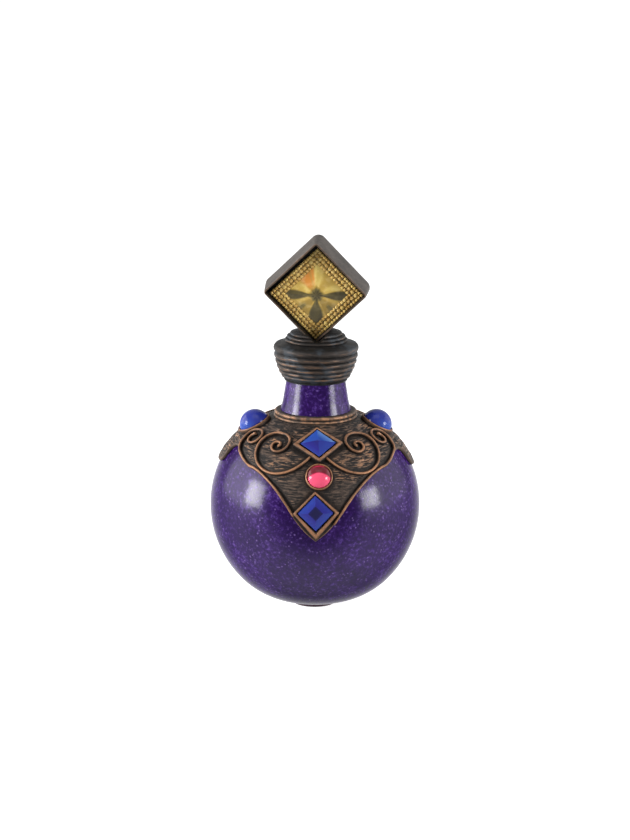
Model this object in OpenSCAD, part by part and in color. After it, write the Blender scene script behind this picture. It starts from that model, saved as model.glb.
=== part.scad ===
// Potion bottle: a round flask with a pointed ornamental collar, set stones and a jewelled stopper.
// Millimetres, +Z up, front towards -Y, origin at the middle of the foot's underside.

/* [Flask] */
// Radius of the round body
ball_r = 40; // [36:0.5:44]
// Thickness of the flask's wall
wall = 3; // [2:0.25:4]
// Radius of the shoulder's arc, which runs from the body to the neck
shoulder_r = 30; // [27:0.5:33]
// Angle above the middle at which the shoulder's arc begins
shoulder_from = 24; // [22:1:27]
// Radius of the arc that flattens the underside
under_r = 31; // [29:0.5:34]
// Angle below the middle at which the underside's arc begins
under_from = 44; // [40:1:50]
// Radius of the neck at its lip
neck_r = 10.9; // [10.6:0.1:11.4]
// Radius of the neck where it leaves the shoulder
neck_foot_r = 13.3; // [12.8:0.1:13.8]
// Height of the lip above the middle of the body
lip_z = 49; // [48.4:0.2:50]
// Radius of the bore through the neck
bore_r = 9; // [8:0.1:9.2]

/* [Foot] */
// Radius of the foot pad
foot_r = 8; // [7:0.5:9]
// Thickness of the foot pad
foot_h = 1.9; // [1.2:0.1:2.4]

/* [Collar] */
// Thickness of the collar
collar_t = 1.2; // [1:0.05:1.6]
// Radius of the collar's upright sleeve at its top
sleeve_r = 15; // [14.6:0.1:15.4]
// Height of the sleeve's top above the middle of the body
collar_top = 37.1; // [36.9:0.1:37.8]
// Radius of the two ridges round the sleeve
ridge_r = 0.7; // [0.5:0.05:0.8]
// Height of the upper ridge above the middle of the body
upper_ridge_z = 36.3; // [36.1:0.1:36.6]
// Height of the lower ridge above the middle of the body
lower_ridge_z = 34.7; // [34.4:0.1:34.9]
// Angle by which the front point leans to one side
point_lean = -1.4; // [-3:0.2:3]
// Angle by which the side tab on the right hangs lower, and the one on the left higher
side_sag = 1.6; // [-2:0.1:2]

/* [Cords] */
// Width of a laid cord
cord_w = 1.3; // [1:0.05:1.4]
// Height of a laid cord
cord_h = 1.15; // [0.8:0.05:1.4]
// Distance from the collar's edge to the middle of the rim cord
rim_inset = 0.7; // [0.65:0.05:1.1]
// Radius of the large scroll, level with its eye on the outer side
scroll_r = 8.05; // [7.6:0.05:8.3]
// Radius of the small scroll, level with its eye on the outer side
curl_r = 5.1; // [4.8:0.05:5.3]

/* [Stones] */
// Side of the two square stones on the collar
square_gem = 9.1; // [8.5:0.1:9.5]
// Thickness of a square stone
square_gem_h = 2.6; // [2.2:0.1:3.2]
// Side of the lower stone's flat table
table_side = 3.9; // [3:0.1:5]
// Side of the upper stone's small table
peak_side = 1.6; // [1:0.1:3]
// Height of the stones' edge band under the facets
girdle_h = 1.2; // [0.9:0.1:1.5]
// Radius of the round front stone
round_gem_r = 4.25; // [4:0.05:4.5]
// Height of the round front stone
round_gem_h = 3.3; // [2.8:0.1:3.8]
// Radius of the two shoulder stones
side_gem_r = 5.7; // [5.2:0.1:5.9]
// Height of the two shoulder stones
side_gem_h = 5.6; // [4.8:0.1:5.7]
// Angle above the middle at which the lower stone sits
lower_gem_at = 10; // [9.2:0.2:11]
// Turn of the two shoulder stones from the front
side_gem_turn = 82; // [80:0.5:90]
// Open stretch of collar between the rims of two stones
stone_gap = 0.2; // [0.15:0.05:0.5]
// Open stretch of collar between the rim of a shoulder stone and the lower ridge
side_gap = 2.3; // [1.6:0.1:3]
// Width of the rim that holds a square stone
bezel_w = 1.4; // [1.2:0.1:1.5]
// Width of the rim that holds a round stone
ring_w = 0.7; // [0.6:0.05:0.8]

/* [Stopper] */
// Radius of the stopper's widest rib
rim_r = 16.1; // [15.5:0.1:16.8]
// Radius of the stopper's underside
cap_r = 12.3; // [12:0.1:12.6]
// Height of the stopper's widest rib
rim_rib_h = 3; // [2.6:0.1:3.2]
// Height of the lowest rib
rib_h = 1.5; // [1.4:0.05:1.6]
// Growth in height from one rib to the next
rib_growth = 0.2; // [0.15:0.01:0.25]
// Radius of the upper tier's lowest rib
tier_r = 11.9; // [11.2:0.1:12.4]
// Height of each rib of the upper tier
tier_rib_h = 1.2; // [1.1:0.05:1.3]
// Length of the cork below the stopper's underside
cork_len = 12; // [9:0.5:14]
// Depth to which the cork is glued into the stopper
cork_socket = 5; // [3:0.5:7]

/* [Crown] */
// Side of the square setting at its front
setting_front = 27.7; // [27.4:0.1:28.2]
// Side of the square setting at its back
setting_back = 29.8; // [29.2:0.1:30.2]
// Depth of the square setting from front to back
setting_depth = 15.5; // [14:0.5:16.5]
// Height of the setting's middle above the stopper's underside
setting_rise = 33.8; // [33:0.1:34.6]
// Depth of the jewel's rim below the front of the setting
jewel_sunk = 5; // [4:0.25:6]
// Side of the square jewel
jewel_side = 24.4; // [23.8:0.1:24.8]
// Thickness of the jewel without its beads
jewel_t = 3; // [2.4:0.1:3.6]
// Height of one bead on the jewel's border
bead_h = 0.6; // [0.4:0.05:0.8]
// Rise of the jewel's star centre above its border
star_h = 1.8; // [1.2:0.1:2.4]
// Turn of the crown about the upright axis
crown_yaw = -6; // [-8:1:8]
// Lean of the crown towards the front
crown_lean = 3; // [0:0.5:4]
// Roll of the crown in its own face
crown_roll = 1; // [-2:0.5:2]

/* [Clearances] */
// Layer of glue between a stuck piece and its seat
glue = 0.05; // [0.03:0.01:0.08]
// Gap between the cork and the bore
cork_gap = 0.08; // [0.05:0.01:0.1]
// Gap between the stopper's underside and the lip
lip_gap = 0.1; // [0.05:0.05:0.3]

/* [Hidden] */
$fn = 96;

glaze = [0.29, 0.16, 0.47];
bronze = [0.17, 0.12, 0.10];
copper = [0.62, 0.38, 0.24];
sapphire = [0.09, 0.16, 0.66];
ruby = [0.86, 0.14, 0.32];
citrine = [0.80, 0.62, 0.22];
cork_tan = [0.62, 0.45, 0.29];
felt = [0.12, 0.10, 0.10];

// Centres of the two arcs that run smoothly out of the round body
shoulder_c = (ball_r - shoulder_r) * [cos(shoulder_from), sin(shoulder_from)];
under_c = (ball_r - under_r) * [cos(under_from), -sin(under_from)];
// Height of the body's middle, from where the underside meets the foot
foot_drop = -under_c.y + sqrt(pow(under_r, 2) - pow(foot_r - under_c.x, 2));
middle_z = foot_h + foot_drop;
// Height above the body's middle at which the neck leaves the shoulder
neck_foot_z = shoulder_c.y + sqrt(pow(shoulder_r, 2) - pow(neck_foot_r - shoulder_c.x, 2));
cap_z = lip_z + lip_gap;
collar_out = glue + collar_t;
// Growth of the sleeve's radius for each millimetre downwards, and how far a ridge's middle lies in it
sleeve_slope = 0.17;
ridge_sunk = 0.2;
// Number of straight sides that draw a ridge's round section
ridge_facets = 24;
// Farther than any part of the flask, for the shapes that cut it
far = 3 * ball_r;

// Number of straight steps from one corner point of a smooth line to the next
outline_steps = 3;
route_steps = 3;
// The collar's edge from its front point to the middle of the side tab: [turn, angle above the middle]
outline = [
    [0, -5.3], [4.5, -1.5], [9, 3.2], [14.8, 10.5], [17.1, 13.4], [22.1, 18.9], [28.1, 23.7], [34.2, 28],
    [40.3, 30.9], [46.4, 32.4], [52.7, 35.2], [60.3, 39.6], [67.6, 41.9], [73.4, 41.5], [76.2, 38],
    [77.4, 32], [79.8, 27.4], [84.4, 25.2], [90, 24.8]
];
// Turns between which the sag of the side tabs sets in
sag_from = 58;
sag_to = 68;
// Corner points of the outline that the rim cord follows, and the points at which it starts: in front
// beside the lower stone, and at the back, which has no stones, close to the point
rim_first_front = 3;
rim_first_back = 1;
rim_last = 9;
rim_start_front = [11.6, 7.9];
rim_start_back = [1, -2.8];
// Where the rim cord leaves the edge and climbs to the small scroll
rim_climb = [[56.7, 38.9], [61.9, 42], [65.4, 45.9]];

// Eyes of the scrolls: [turn from the panel's middle, angle above the middle]
scroll_eye = [30.8, 51.5];
curl_eye = [57, 53.3];
scroll_tighten = 0.215;
curl_tighten = 0.15;
scroll_rings = 40;
curl_rings = 16;
scroll_start_front = -162.5;
scroll_start_back = -168;
scroll_end = 540;
curl_start = -14;
curl_end = 436;

// Turn at which the front panel's lean has faded away
lean_end = 50;

// Turn of each front stone from the panel's middle, and its roll in its own face
upper_gem_turn = 0.3;
round_gem_turn = 0.4;
lower_gem_turn = -1.5;
upper_gem_roll = 2;
lower_gem_roll = 1.5;
// Play between a stone and its rim, and between the jewel and the walls round it
gem_slack = 0.1;
jewel_slack = 0.9;
// Widths of a square rim at its top, left, bottom and right corner, as parts of the rim's width
upper_draw = [0.75, 1.1, 0.85, 1.3];
lower_draw = [0.7, 0.8, 1.15, 0.95];
// Height of the rims above and below the seat of their stone
bezel_h = 1.5;
ring_h = 1.1;
// The front stones follow one another up the collar, and the shoulder stones stop short of the lower ridge
round_reach = round_gem_r + gem_slack + ring_w;
round_gem_at = climb(lower_gem_at, square_reach(lower_draw[0]) + stone_gap + round_reach);
upper_gem_at = climb(round_gem_at, round_reach + stone_gap + square_reach(upper_draw[2]));
side_gem_at = acos((ridge_seat(lower_ridge_z) + ridge_r + side_gap - shoulder_c.x)
    / norm([shoulder_r + collar_out, side_gem_r])) - atan2(side_gem_r, shoulder_r + collar_out);

// Ribs of the stopper: their number, and the radius of a rib's bulge for each millimetre of its height
lower_ribs = 5;
tier_ribs = 3;
rib_bulge = 0.62;
// Height of the lowest rib's middle above the stopper's underside
rib_start = 0.8;
// Rise from the widest rib to the upper tier
tier_rise = 0.9;
// Step inwards from one rib of the upper tier to the next, and its growth from step to step
tier_step = [0.55, 0.22];
// Depth of the grooves beside the upper tier
tier_groove = 0.4;
// Radius and height of the flat top of the upper tier
tier_top_r = 8.2;
tier_dome_h = 0.1;
rim_z = cap_z + rib_start + rib_sum(lower_ribs) + rim_rib_h / 2;
tier_z = rim_z + rim_rib_h / 2 + tier_rise;
cap_top = tier_z + tier_ribs * tier_rib_h + tier_dome_h;

// Corner radii of the setting at its front and back, and the width of its rounded back edge
front_corner = 1.2;
back_corner = 3;
back_edge = 1.6;
// Depth of the setting's straight front edge, and thickness of the slabs that shape its back
front_land = 0.3;
slab_t = 0.01;
// The jewel's face is a grid of square cells, and its border is this many cells wide
bead_cells = 18;
bead_rows = 3;
// Length by which a tool that cuts an open recess stands out of it
proud = 1;

// Reach of a square stone's rim towards a corner that is drawn out by the part draw of the rim's width
function square_reach(draw) = (square_gem / 2 + gem_slack + draw * bezel_w) * sqrt(2);

// Sum of the heights of the first n lower ribs
function rib_sum(n) = n * rib_h + rib_growth * n * (n - 1) / 2;

// Radius of the stopper's bowl at height z
function bowl_r(z) = rim_r - (rim_r - cap_r) * pow((rim_z - z) / (rim_z - cap_z), 2);

// Radius and height of the flask's outside, grown by off, where its slope faces up at angle a
function profile(a, off) = a <= shoulder_from
    ? (ball_r + off) * [cos(a), sin(a)]
    : shoulder_c + (shoulder_r + off) * [cos(a), sin(a)];

// Point on the grown flask at turn t from the front and slope angle a, and the outward normal there
function on_flask(t, a, off) = let (p = profile(a, off)) [p.x * sin(t), -p.x * cos(t), middle_z + p.y];
function normal_at(t, a) = [sin(t) * cos(a), -cos(t) * cos(a), sin(a)];

// Slope angle reached from angle a by going up the flask's side by v, measured on the collar's face
function climb(a, v) = let (
    low = ball_r + collar_out,
    high = shoulder_r + collar_out,
    k = PI / 180,
    s = (a <= shoulder_from ? low : high) * (a - shoulder_from) * k + v
) shoulder_from + s / (k * (s <= 0 ? low : high));

// Turn and slope angle of the point u to the side of and v above an eye
function beside(eye, u, v) = let (a = climb(eye.y, v), r = profile(a, collar_out).x)
    [eye.x + u / r * 180 / PI, a];

// A spiral round an eye that tightens as it turns, from one angle to another, in n steps
function spiral(eye, r, tighten, from, to, n) = [
    for (i = [0:n])
        let (
            x = i / n,
            w = from + (to - from) * (0.52 * x + 0.48 * x * x),
            q = r * exp(-tighten * w * PI / 180)
        )
            beside(eye, q * cos(w), q * sin(w))
];

// A smooth curve through the points p, with n steps between one point and the next
function smooth(p, n) = [
    for (i = [0:len(p) - 2], j = [0:n - 1])
        let (
            a = i > 0 ? p[i - 1] : 2 * p[0] - p[1], b = p[i], c = p[i + 1],
            d = i + 2 < len(p) ? p[i + 2] : 2 * p[i + 1] - p[i], x = j / n
        )
            0.5 * (2 * b + (c - a) * x + (2 * a - 5 * b + 4 * c - d) * pow(x, 2)
                + (3 * b - 3 * c + d - a) * pow(x, 3)),
    p[len(p) - 1]
];

// The front panel leans a little: its middle is turned by lean, and its sides stay
function leaned(p, lean) = [p.x + lean * max(0, 1 - p.x / lean_end), p.y];

// The side tabs sag by s degrees
function sagged(p, s) = [p.x, p.y - s * min(1, max(0, (p.x - sag_from) / (sag_to - sag_from)))];

// Corner point i of the outline, moved by d into the collar, square to the edge
function inset(i, d) = let (
    p = outline[i], q = outline[i + 1] - outline[i - 1], r = ball_r + collar_out,
    s = unit([q.x * cos(p.y), q.y])
) p + d / r * 180 / PI * [-s.y / cos(p.y), s.x];

function unit(v) = v / norm(v);

// The rounded section of a laid cord, flat where it lies on the collar
cord_section = [
    [-0.4, 0], [-0.5, 0.38], [-0.33, 0.8], [0, 1], [0.33, 0.8], [0.5, 0.38], [0.4, 0]
];

// A cord laid on the collar along a route of [turn, angle], with rounded ends
module laid_cord(route, lean) {
    n = len(route);
    m = len(cord_section);
    base = [for (p = route) let (q = leaned(p, lean)) on_flask(q.x, q.y, collar_out + glue)];
    up = [for (p = route) let (q = leaned(p, lean)) normal_at(q.x, q.y)];
    rings = [
        for (i = [0:n - 1])
            let (
                along = unit(base[min(i + 1, n - 1)] - base[max(i - 1, 0)]),
                side = cross(along, up[i]),
                end = min(i, n - 1 - i),
                size = end == 0 ? 0.45 : end == 1 ? 0.85 : 1
            )
                for (s = cord_section) base[i] + side * s.x * cord_w * size + up[i] * s.y * cord_h * size
    ];
    faces = concat(
        [[for (j = [m - 1:-1:0]) j]],
        [for (i = [0:n - 2], j = [0:m - 1]) let (a = i * m + j, b = i * m + (j + 1) % m) [a, b, b + m]],
        [for (i = [0:n - 2], j = [0:m - 1]) let (a = i * m + j, b = i * m + (j + 1) % m) [a, b + m, a + m]],
        [[for (j = [0:m - 1]) (n - 1) * m + j]]
    );
    polyhedron(rings, faces, convexity = 8);
}

// Places what follows on the grown flask at turn t and slope angle a, facing outwards, rolled by roll
module seat(t, a, off, roll = 0) {
    translate(on_flask(t, a, off)) rotate([0, 0, t]) rotate([90 - a, 0, 0]) rotate([0, 0, roll]) children();
}

// Half section of the flask's body, grown by off, round the axis and about the body's middle
module body_half(off) {
    difference() {
        union() {
            intersection() {
                circle(ball_r + off);
                polygon([
                    [0, 0], far * [cos(under_from), -sin(under_from)], [far, 0],
                    far * [cos(shoulder_from), sin(shoulder_from)]
                ]);
            }
            translate(shoulder_c) circle(shoulder_r + off);
            translate(under_c) circle(under_r + off);
        }
        translate([-far, -far]) square([far, 2 * far]);
    }
}

// Half section of the neck, grown by off, from inside the body to the lip
module neck_half(off) {
    polygon([
        [0, shoulder_c.y], [neck_foot_r + off, shoulder_c.y], [neck_foot_r + off, neck_foot_z],
        [neck_r + off, lip_z], [0, lip_z]
    ]);
}

// The flask's solid outside, grown by off, which pieces that lie on it are cut to
module flask_outside(off) {
    translate([0, 0, middle_z]) rotate_extrude($fn = 360) {
        body_half(off, $fn = 360);
        neck_half(off, $fn = 360);
    }
}

module bottle() {
    color(glaze) translate([0, 0, middle_z]) rotate_extrude() difference() {
        union() {
            body_half(0);
            neck_half(0);
        }
        body_half(-wall);
        square([bore_r, lip_z + proud]);
        translate([0, -foot_drop - far]) square([far, far]);
    }
}

module foot_pad() {
    color(felt) cylinder(r = foot_r, h = foot_h);
}

// Everything above the collar's outline, as rays from the body's middle through the outline's points
module above_outline() {
    right = [for (p = smooth(outline, outline_steps)) sagged(p, side_sag)];
    left = [for (p = smooth(outline, outline_steps)) sagged(p, -side_sag)];
    q = len(right);
    turns = concat(
        [for (p = right) leaned(p, point_lean)],
        [for (i = [q - 2:-1:1]) [180 - right[i].x, right[i].y]],
        [for (i = [0:q - 1]) [180 + left[i].x, left[i].y]],
        [for (i = [q - 2:-1:1]) let (p = leaned(left[i], -point_lean)) [360 - p.x, p.y]]
    );
    n = len(turns);
    ring = [for (p = turns) far * normal_at(p.x, p.y)];
    lid = [for (p = ring) [p.x, p.y, far]];
    faces = concat(
        [for (i = [0:n - 1]) [2 * n, i, (i + 1) % n]],
        [for (i = [0:n - 1]) [i, n + i, n + (i + 1) % n]],
        [for (i = [0:n - 1]) [i, n + (i + 1) % n, (i + 1) % n]],
        [for (i = [0:n - 1]) [n + i, 2 * n + 1, n + (i + 1) % n]]
    );
    translate([0, 0, middle_z])
        polyhedron(concat(ring, lid, [[0, 0, 0], [0, 0, far]]), faces, convexity = 10);
}

// Radius of the collar's sleeve at height z, and of the middle of a ridge seated on it
function sleeve(z) = sleeve_r + sleeve_slope * (collar_top - z);
function ridge_seat(z) = sleeve(z) - ridge_sunk;

// Sections of the two ridges, grown by off
module ridges(off) {
    for (z = [upper_ridge_z, lower_ridge_z])
        translate([ridge_seat(z), z]) circle(ridge_r + off, $fn = ridge_facets);
}

module collar() {
    color(bronze) intersection() {
        translate([0, 0, middle_z]) rotate_extrude() difference() {
            intersection() {
                union() {
                    body_half(collar_out);
                    polygon([
                        [0, shoulder_c.y], [sleeve(shoulder_c.y), shoulder_c.y], [sleeve_r, collar_top],
                        [0, collar_top]
                    ]);
                    ridges(0);
                }
                translate([neck_r, -ball_r / 2]) square([far, ball_r / 2 + collar_top]);
            }
            body_half(glue);
            neck_half(glue);
        }
        above_outline();
    }
}

// Route of the rim cord on one side: from its start to a corner point, along the edge, up, and into
// the small scroll
function rim_route(start, first) = let (
    edge = concat([start], [for (i = [first:rim_last]) inset(i, rim_inset)]),
    curl = spiral(curl_eye, curl_r, curl_tighten, curl_start, curl_end, curl_rings)
) concat(smooth(concat(edge, rim_climb, [curl[0]]), route_steps), [for (i = [1:curl_rings]) curl[i]]);

module front_rim_cord(lean) {
    color(copper) laid_cord(rim_route(rim_start_front, rim_first_front), lean);
}

module back_rim_cord() {
    color(copper) laid_cord(rim_route(rim_start_back, rim_first_back), 0);
}

module scroll(start, lean) {
    color(copper)
        laid_cord(spiral(scroll_eye, scroll_r, scroll_tighten, start, scroll_end, scroll_rings), lean);
}

// A square rim of rounded section round a square stone, standing on z = 0, with corners drawn out by draw
module square_rim(draw) {
    m = len(cord_section);
    points = [
        for (i = [0:3], s = cord_section)
            let (
                k = square_gem / 2 + gem_slack + (s.x + 0.5) * bezel_w * draw[i],
                z = s.y > 0 ? s.y * bezel_h : -bezel_h
            )
                [k * (i == 0 || i == 3 ? 1 : -1), k * (i < 2 ? 1 : -1), z]
    ];
    faces = [
        for (i = [0:3], j = [0:m - 1])
            let (a = i * m, b = (i + 1) % 4 * m, k = (j + 1) % m)
                each [[a + j, b + k, a + k], [a + j, b + j, b + k]]
    ];
    polyhedron(points, faces, convexity = 4);
}

// The rim of a square stone, with its underside cut to the collar
module square_bezel(t, a, roll, draw) {
    color(copper) difference() {
        seat(t, a, collar_out, roll) rotate(45) square_rim(draw);
        flask_outside(collar_out + glue);
    }
}

// The rim of a round stone, with its underside cut to the collar and its ridges
module round_bezel(t, a, gem_r) {
    color(copper) difference() {
        seat(t, a, collar_out) translate([0, 0, -ring_h]) rotate_extrude()
            translate([gem_r + gem_slack, 0]) {
                square([ring_w, 2 * ring_h - ring_w / 2]);
                translate([ring_w / 2, 2 * ring_h - ring_w / 2]) circle(ring_w / 2);
            }
        flask_outside(collar_out + glue);
        translate([0, 0, middle_z]) rotate_extrude($fn = 360) ridges(glue);
    }
}

// A square stone with four sloping facets that rise to a flat table
module square_gem(t, a, roll, table) {
    s = square_gem / 2;
    k = table / 2;
    seat(t, a, collar_out + glue, roll) rotate(45) polyhedron([
        [-s, -s, 0], [s, -s, 0], [s, s, 0], [-s, s, 0],
        [-s, -s, girdle_h], [s, -s, girdle_h], [s, s, girdle_h], [-s, s, girdle_h],
        [-k, -k, square_gem_h], [k, -k, square_gem_h], [k, k, square_gem_h], [-k, k, square_gem_h]
    ], [
        [0, 1, 2, 3], [4, 5, 1, 0], [5, 6, 2, 1], [6, 7, 3, 2], [7, 4, 0, 3],
        [8, 9, 5, 4], [9, 10, 6, 5], [10, 11, 7, 6], [11, 8, 4, 7], [11, 10, 9, 8]
    ]);
}

// A smooth domed stone of radius r and height h with a straight band at its foot
module domed_gem(t, a, r, h) {
    rise = h - girdle_h;
    dome_r = (r * r + rise * rise) / (2 * rise);
    seat(t, a, collar_out + glue) {
        intersection() {
            cylinder(r = r, h = h);
            translate([0, 0, h - dome_r]) sphere(dome_r);
        }
    }
}

// Rib of the stopper, filled to the axis: a round bulge whose outside reaches radius r at height z
module rib(r, z, h) {
    translate([r - rib_bulge * h, z]) circle(rib_bulge * h);
    translate([0, z - h / 2]) square([r - rib_bulge * h, h]);
}

module stopper_cap() {
    color(bronze) difference() {
        translate([0, 0, middle_z]) rotate_extrude() difference() {
            union() {
                for (i = [0:lower_ribs - 1]) {
                    h = rib_h + rib_growth * i;
                    z = cap_z + rib_start + rib_sum(i) + h / 2;
                    rib(bowl_r(z), z, h);
                }
                translate([0, cap_z]) square([cap_r - rib_h / 2, rib_start + rib_h / 2]);
                rib(cap_r, cap_z + rib_start, rib_h);
                rib(rim_r, rim_z, rim_rib_h);
                polygon([
                    [0, rim_z], [rim_r - rim_rib_h / 2, rim_z + (rim_rib_h - tier_groove) / 2],
                    [tier_r - tier_groove, tier_z], [0, tier_z]
                ]);
                for (i = [0:tier_ribs - 1]) {
                    r = tier_r - i * (tier_step.x + i * tier_step.y);
                    rib(r, tier_z + tier_rib_h * (i + 0.5), tier_rib_h);
                }
                polygon([
                    [0, tier_z], [tier_r - 4 * tier_step.x, tier_z + tier_ribs * tier_rib_h - tier_groove],
                    [tier_top_r, cap_top], [0, cap_top]
                ]);
            }
            translate([-far, cap_z - far]) square([2 * far, far]);
            translate([-far, 0]) square([far, far]);
        }
        translate([0, 0, middle_z + cap_z - proud])
            cylinder(r = bore_r - cork_gap + glue, h = cork_socket + proud);
        crown_place() setting_room(glue);
    }
}

module stopper_cork() {
    r = bore_r - cork_gap;
    chamfer = 0.8;
    color(cork_tan) translate([0, 0, middle_z + cap_z - cork_len]) {
        translate([0, 0, chamfer]) cylinder(r = r, h = cork_len + cork_socket - glue - chamfer);
        cylinder(r1 = r - chamfer, r2 = r, h = chamfer);
    }
}

// Places the crown: its front faces -Y, a corner points up, and its middle lies on the axis
module crown_place() {
    translate([0, 0, middle_z + cap_z + setting_rise])
        rotate([crown_lean, 0, crown_yaw]) rotate([0, crown_roll + 45, 0]) children();
}

// The room that the setting's tapered block takes up, grown by off, with sharp corners
module setting_room(off) {
    f = setting_front / 2 + off;
    b = f + (setting_back - setting_front) / 2 * setting_depth / (setting_depth - back_edge);
    y = setting_depth / 2 + off;
    polyhedron([
        [-f, -y, -f], [f, -y, -f], [f, -y, f], [-f, -y, f],
        [-b, y, -b], [b, y, -b], [b, y, b], [-b, y, b]
    ], [[3, 2, 1, 0], [4, 5, 6, 7], [0, 1, 5, 4], [1, 2, 6, 5], [2, 3, 7, 6], [3, 0, 4, 7]]);
}

// A thin square slab across the Y axis with rounded corners, from y on
module slab(half, corner, y, thick) {
    translate([0, y, 0]) rotate([-90, 0, 0]) linear_extrude(thick) hull()
        for (x = [-1, 1], z = [-1, 1]) translate((half - corner) * [x, z]) circle(corner, $fn = 24);
}

// The setting's block: sharp at the front, wider and rounded at the back
module setting_block() {
    back = setting_back / 2;
    d = setting_depth / 2;
    hull() {
        slab(setting_front / 2, front_corner, -d, front_land);
        slab(back, back_corner, d - back_edge, slab_t);
        slab(back - 0.35 * back_edge, back_corner, d - 0.3 * back_edge, slab_t);
        slab(back - back_edge, back_corner, d - slab_t, slab_t);
    }
}

module jewel_setting() {
    deep = jewel_sunk + jewel_t;
    s = jewel_side + 2 * jewel_slack;
    color(bronze) crown_place() difference() {
        setting_block();
        translate([-s / 2, -setting_depth / 2 - proud, -s / 2]) cube([s, deep + glue + proud, s]);
    }
}

// The jewel: a beaded border round a star of facets, drawn on a square grid of cells
module crown_jewel() {
    n = bead_cells;
    cell = jewel_side / n;
    half = jewel_side / 2;
    w = n + 1;
    inner = bead_rows;
    outer = n - bead_rows;
    grid = [for (j = [0:n], i = [0:n]) [i * cell - half, j * cell - half, jewel_t]];
    border = [
        for (j = [0:n - 1], i = [0:n - 1])
            if (i < inner || j < inner || i >= outer || j >= outer) [i, j]
    ];
    beads = [for (c = border) [(c.x + 0.5) * cell - half, (c.y + 0.5) * cell - half, jewel_t + bead_h]];
    floor_at = len(grid) + len(beads);
    base = [[-half, -half, 0], [half, -half, 0], [half, half, 0], [-half, half, 0]];
    centre = floor_at + len(base);
    bead_faces = [
        for (k = [0:len(border) - 1], e = [0:3])
            let (
                c = border[k], a = c.y * w + c.x,
                corner = [a, a + w, a + w + 1, a + 1]
            )
                [len(grid) + k, corner[e], corner[(e + 1) % 4]]
    ];
    span = [for (i = [inner:outer - 1]) i];
    star_faces = concat(
        [for (i = span) [centre, inner * w + i, inner * w + i + 1]],
        [for (i = span) [centre, i * w + outer, (i + 1) * w + outer]],
        [for (i = span) [centre, outer * w + i + 1, outer * w + i]],
        [for (i = span) [centre, (i + 1) * w + inner, i * w + inner]]
    );
    sides = [
        [floor_at, floor_at + 1, for (i = [n:-1:0]) i],
        [floor_at + 1, floor_at + 2, for (i = [n:-1:0]) i * w + n],
        [floor_at + 2, floor_at + 3, for (i = [0:n]) n * w + i],
        [floor_at + 3, floor_at, for (i = [0:n]) i * w]
    ];
    back = [[for (i = [len(base) - 1:-1:0]) floor_at + i]];
    turned = [for (f = concat(star_faces, sides, back)) [f[0], for (k = [len(f) - 1:-1:1]) f[k]]];
    points = concat(grid, beads, base, [[0, 0, jewel_t + star_h]]);
    color(citrine) crown_place()
        translate([0, -setting_depth / 2 + jewel_sunk + jewel_t, 0]) rotate([90, 0, 0])
            polyhedron(points, concat(bead_faces, turned), convexity = 6);
}

bottle();
foot_pad();
collar();
mirror([1, 0, 0]) front_rim_cord(-point_lean);  // rim_cord_front_left
front_rim_cord(point_lean);  // rim_cord_front_right
rotate(180) back_rim_cord();  // rim_cord_back_left
mirror([0, 1, 0]) back_rim_cord();  // rim_cord_back_right
mirror([1, 0, 0]) scroll(scroll_start_front, 0);  // scroll_front_left
scroll(scroll_start_front, 0);  // scroll_front_right
rotate(180) scroll(scroll_start_back, 0);  // scroll_back_left
mirror([0, 1, 0]) scroll(scroll_start_back, 0);  // scroll_back_right
square_bezel(upper_gem_turn, upper_gem_at, upper_gem_roll, upper_draw);  // bezel_upper
round_bezel(round_gem_turn, round_gem_at, round_gem_r);  // bezel_round
square_bezel(lower_gem_turn, lower_gem_at, lower_gem_roll, lower_draw);  // bezel_lower
round_bezel(-side_gem_turn, side_gem_at, side_gem_r);  // bezel_side_left
round_bezel(side_gem_turn, side_gem_at, side_gem_r);  // bezel_side_right
color(sapphire) square_gem(upper_gem_turn, upper_gem_at, upper_gem_roll, peak_side);  // gem_upper
color(ruby) domed_gem(round_gem_turn, round_gem_at, round_gem_r, round_gem_h);  // gem_round
color(sapphire) square_gem(lower_gem_turn, lower_gem_at, lower_gem_roll, table_side);  // gem_lower
color(sapphire) domed_gem(-side_gem_turn, side_gem_at, side_gem_r, side_gem_h);  // gem_side_left
color(sapphire) domed_gem(side_gem_turn, side_gem_at, side_gem_r, side_gem_h);  // gem_side_right
stopper_cap();
stopper_cork();
jewel_setting();
crown_jewel();
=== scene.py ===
import bpy
import math
import numpy as np
from mathutils import Euler, Matrix, Vector
from mathutils.kdtree import KDTree


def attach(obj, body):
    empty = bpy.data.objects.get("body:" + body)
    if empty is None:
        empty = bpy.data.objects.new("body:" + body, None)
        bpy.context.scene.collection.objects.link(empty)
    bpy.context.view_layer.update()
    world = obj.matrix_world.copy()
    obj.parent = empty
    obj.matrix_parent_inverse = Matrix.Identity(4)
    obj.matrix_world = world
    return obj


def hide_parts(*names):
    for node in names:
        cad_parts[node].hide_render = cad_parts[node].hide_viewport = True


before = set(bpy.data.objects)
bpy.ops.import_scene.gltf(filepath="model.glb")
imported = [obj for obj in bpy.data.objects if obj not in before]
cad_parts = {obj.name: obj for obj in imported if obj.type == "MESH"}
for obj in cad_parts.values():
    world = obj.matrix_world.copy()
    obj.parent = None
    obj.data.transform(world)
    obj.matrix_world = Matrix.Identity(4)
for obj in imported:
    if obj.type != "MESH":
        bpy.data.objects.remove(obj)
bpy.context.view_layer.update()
MM = 0.001
rad, deg = math.radians, math.degrees

# ---------------------------------------------------------------- values of part.scad, in millimetres and degrees
# Flask: ball, wall, shoulder, underside, neck, bore and foot
BALL_R, WALL, SHOULDER_R, SHOULDER_FROM, UNDER_R, UNDER_FROM = 40, 3, 30, 24, 31, 44
NECK_R, NECK_FOOT_R, LIP_Z, BORE_R, FOOT_R, FOOT_H = 10.9, 13.3, 49, 9, 8, 1.9
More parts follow.
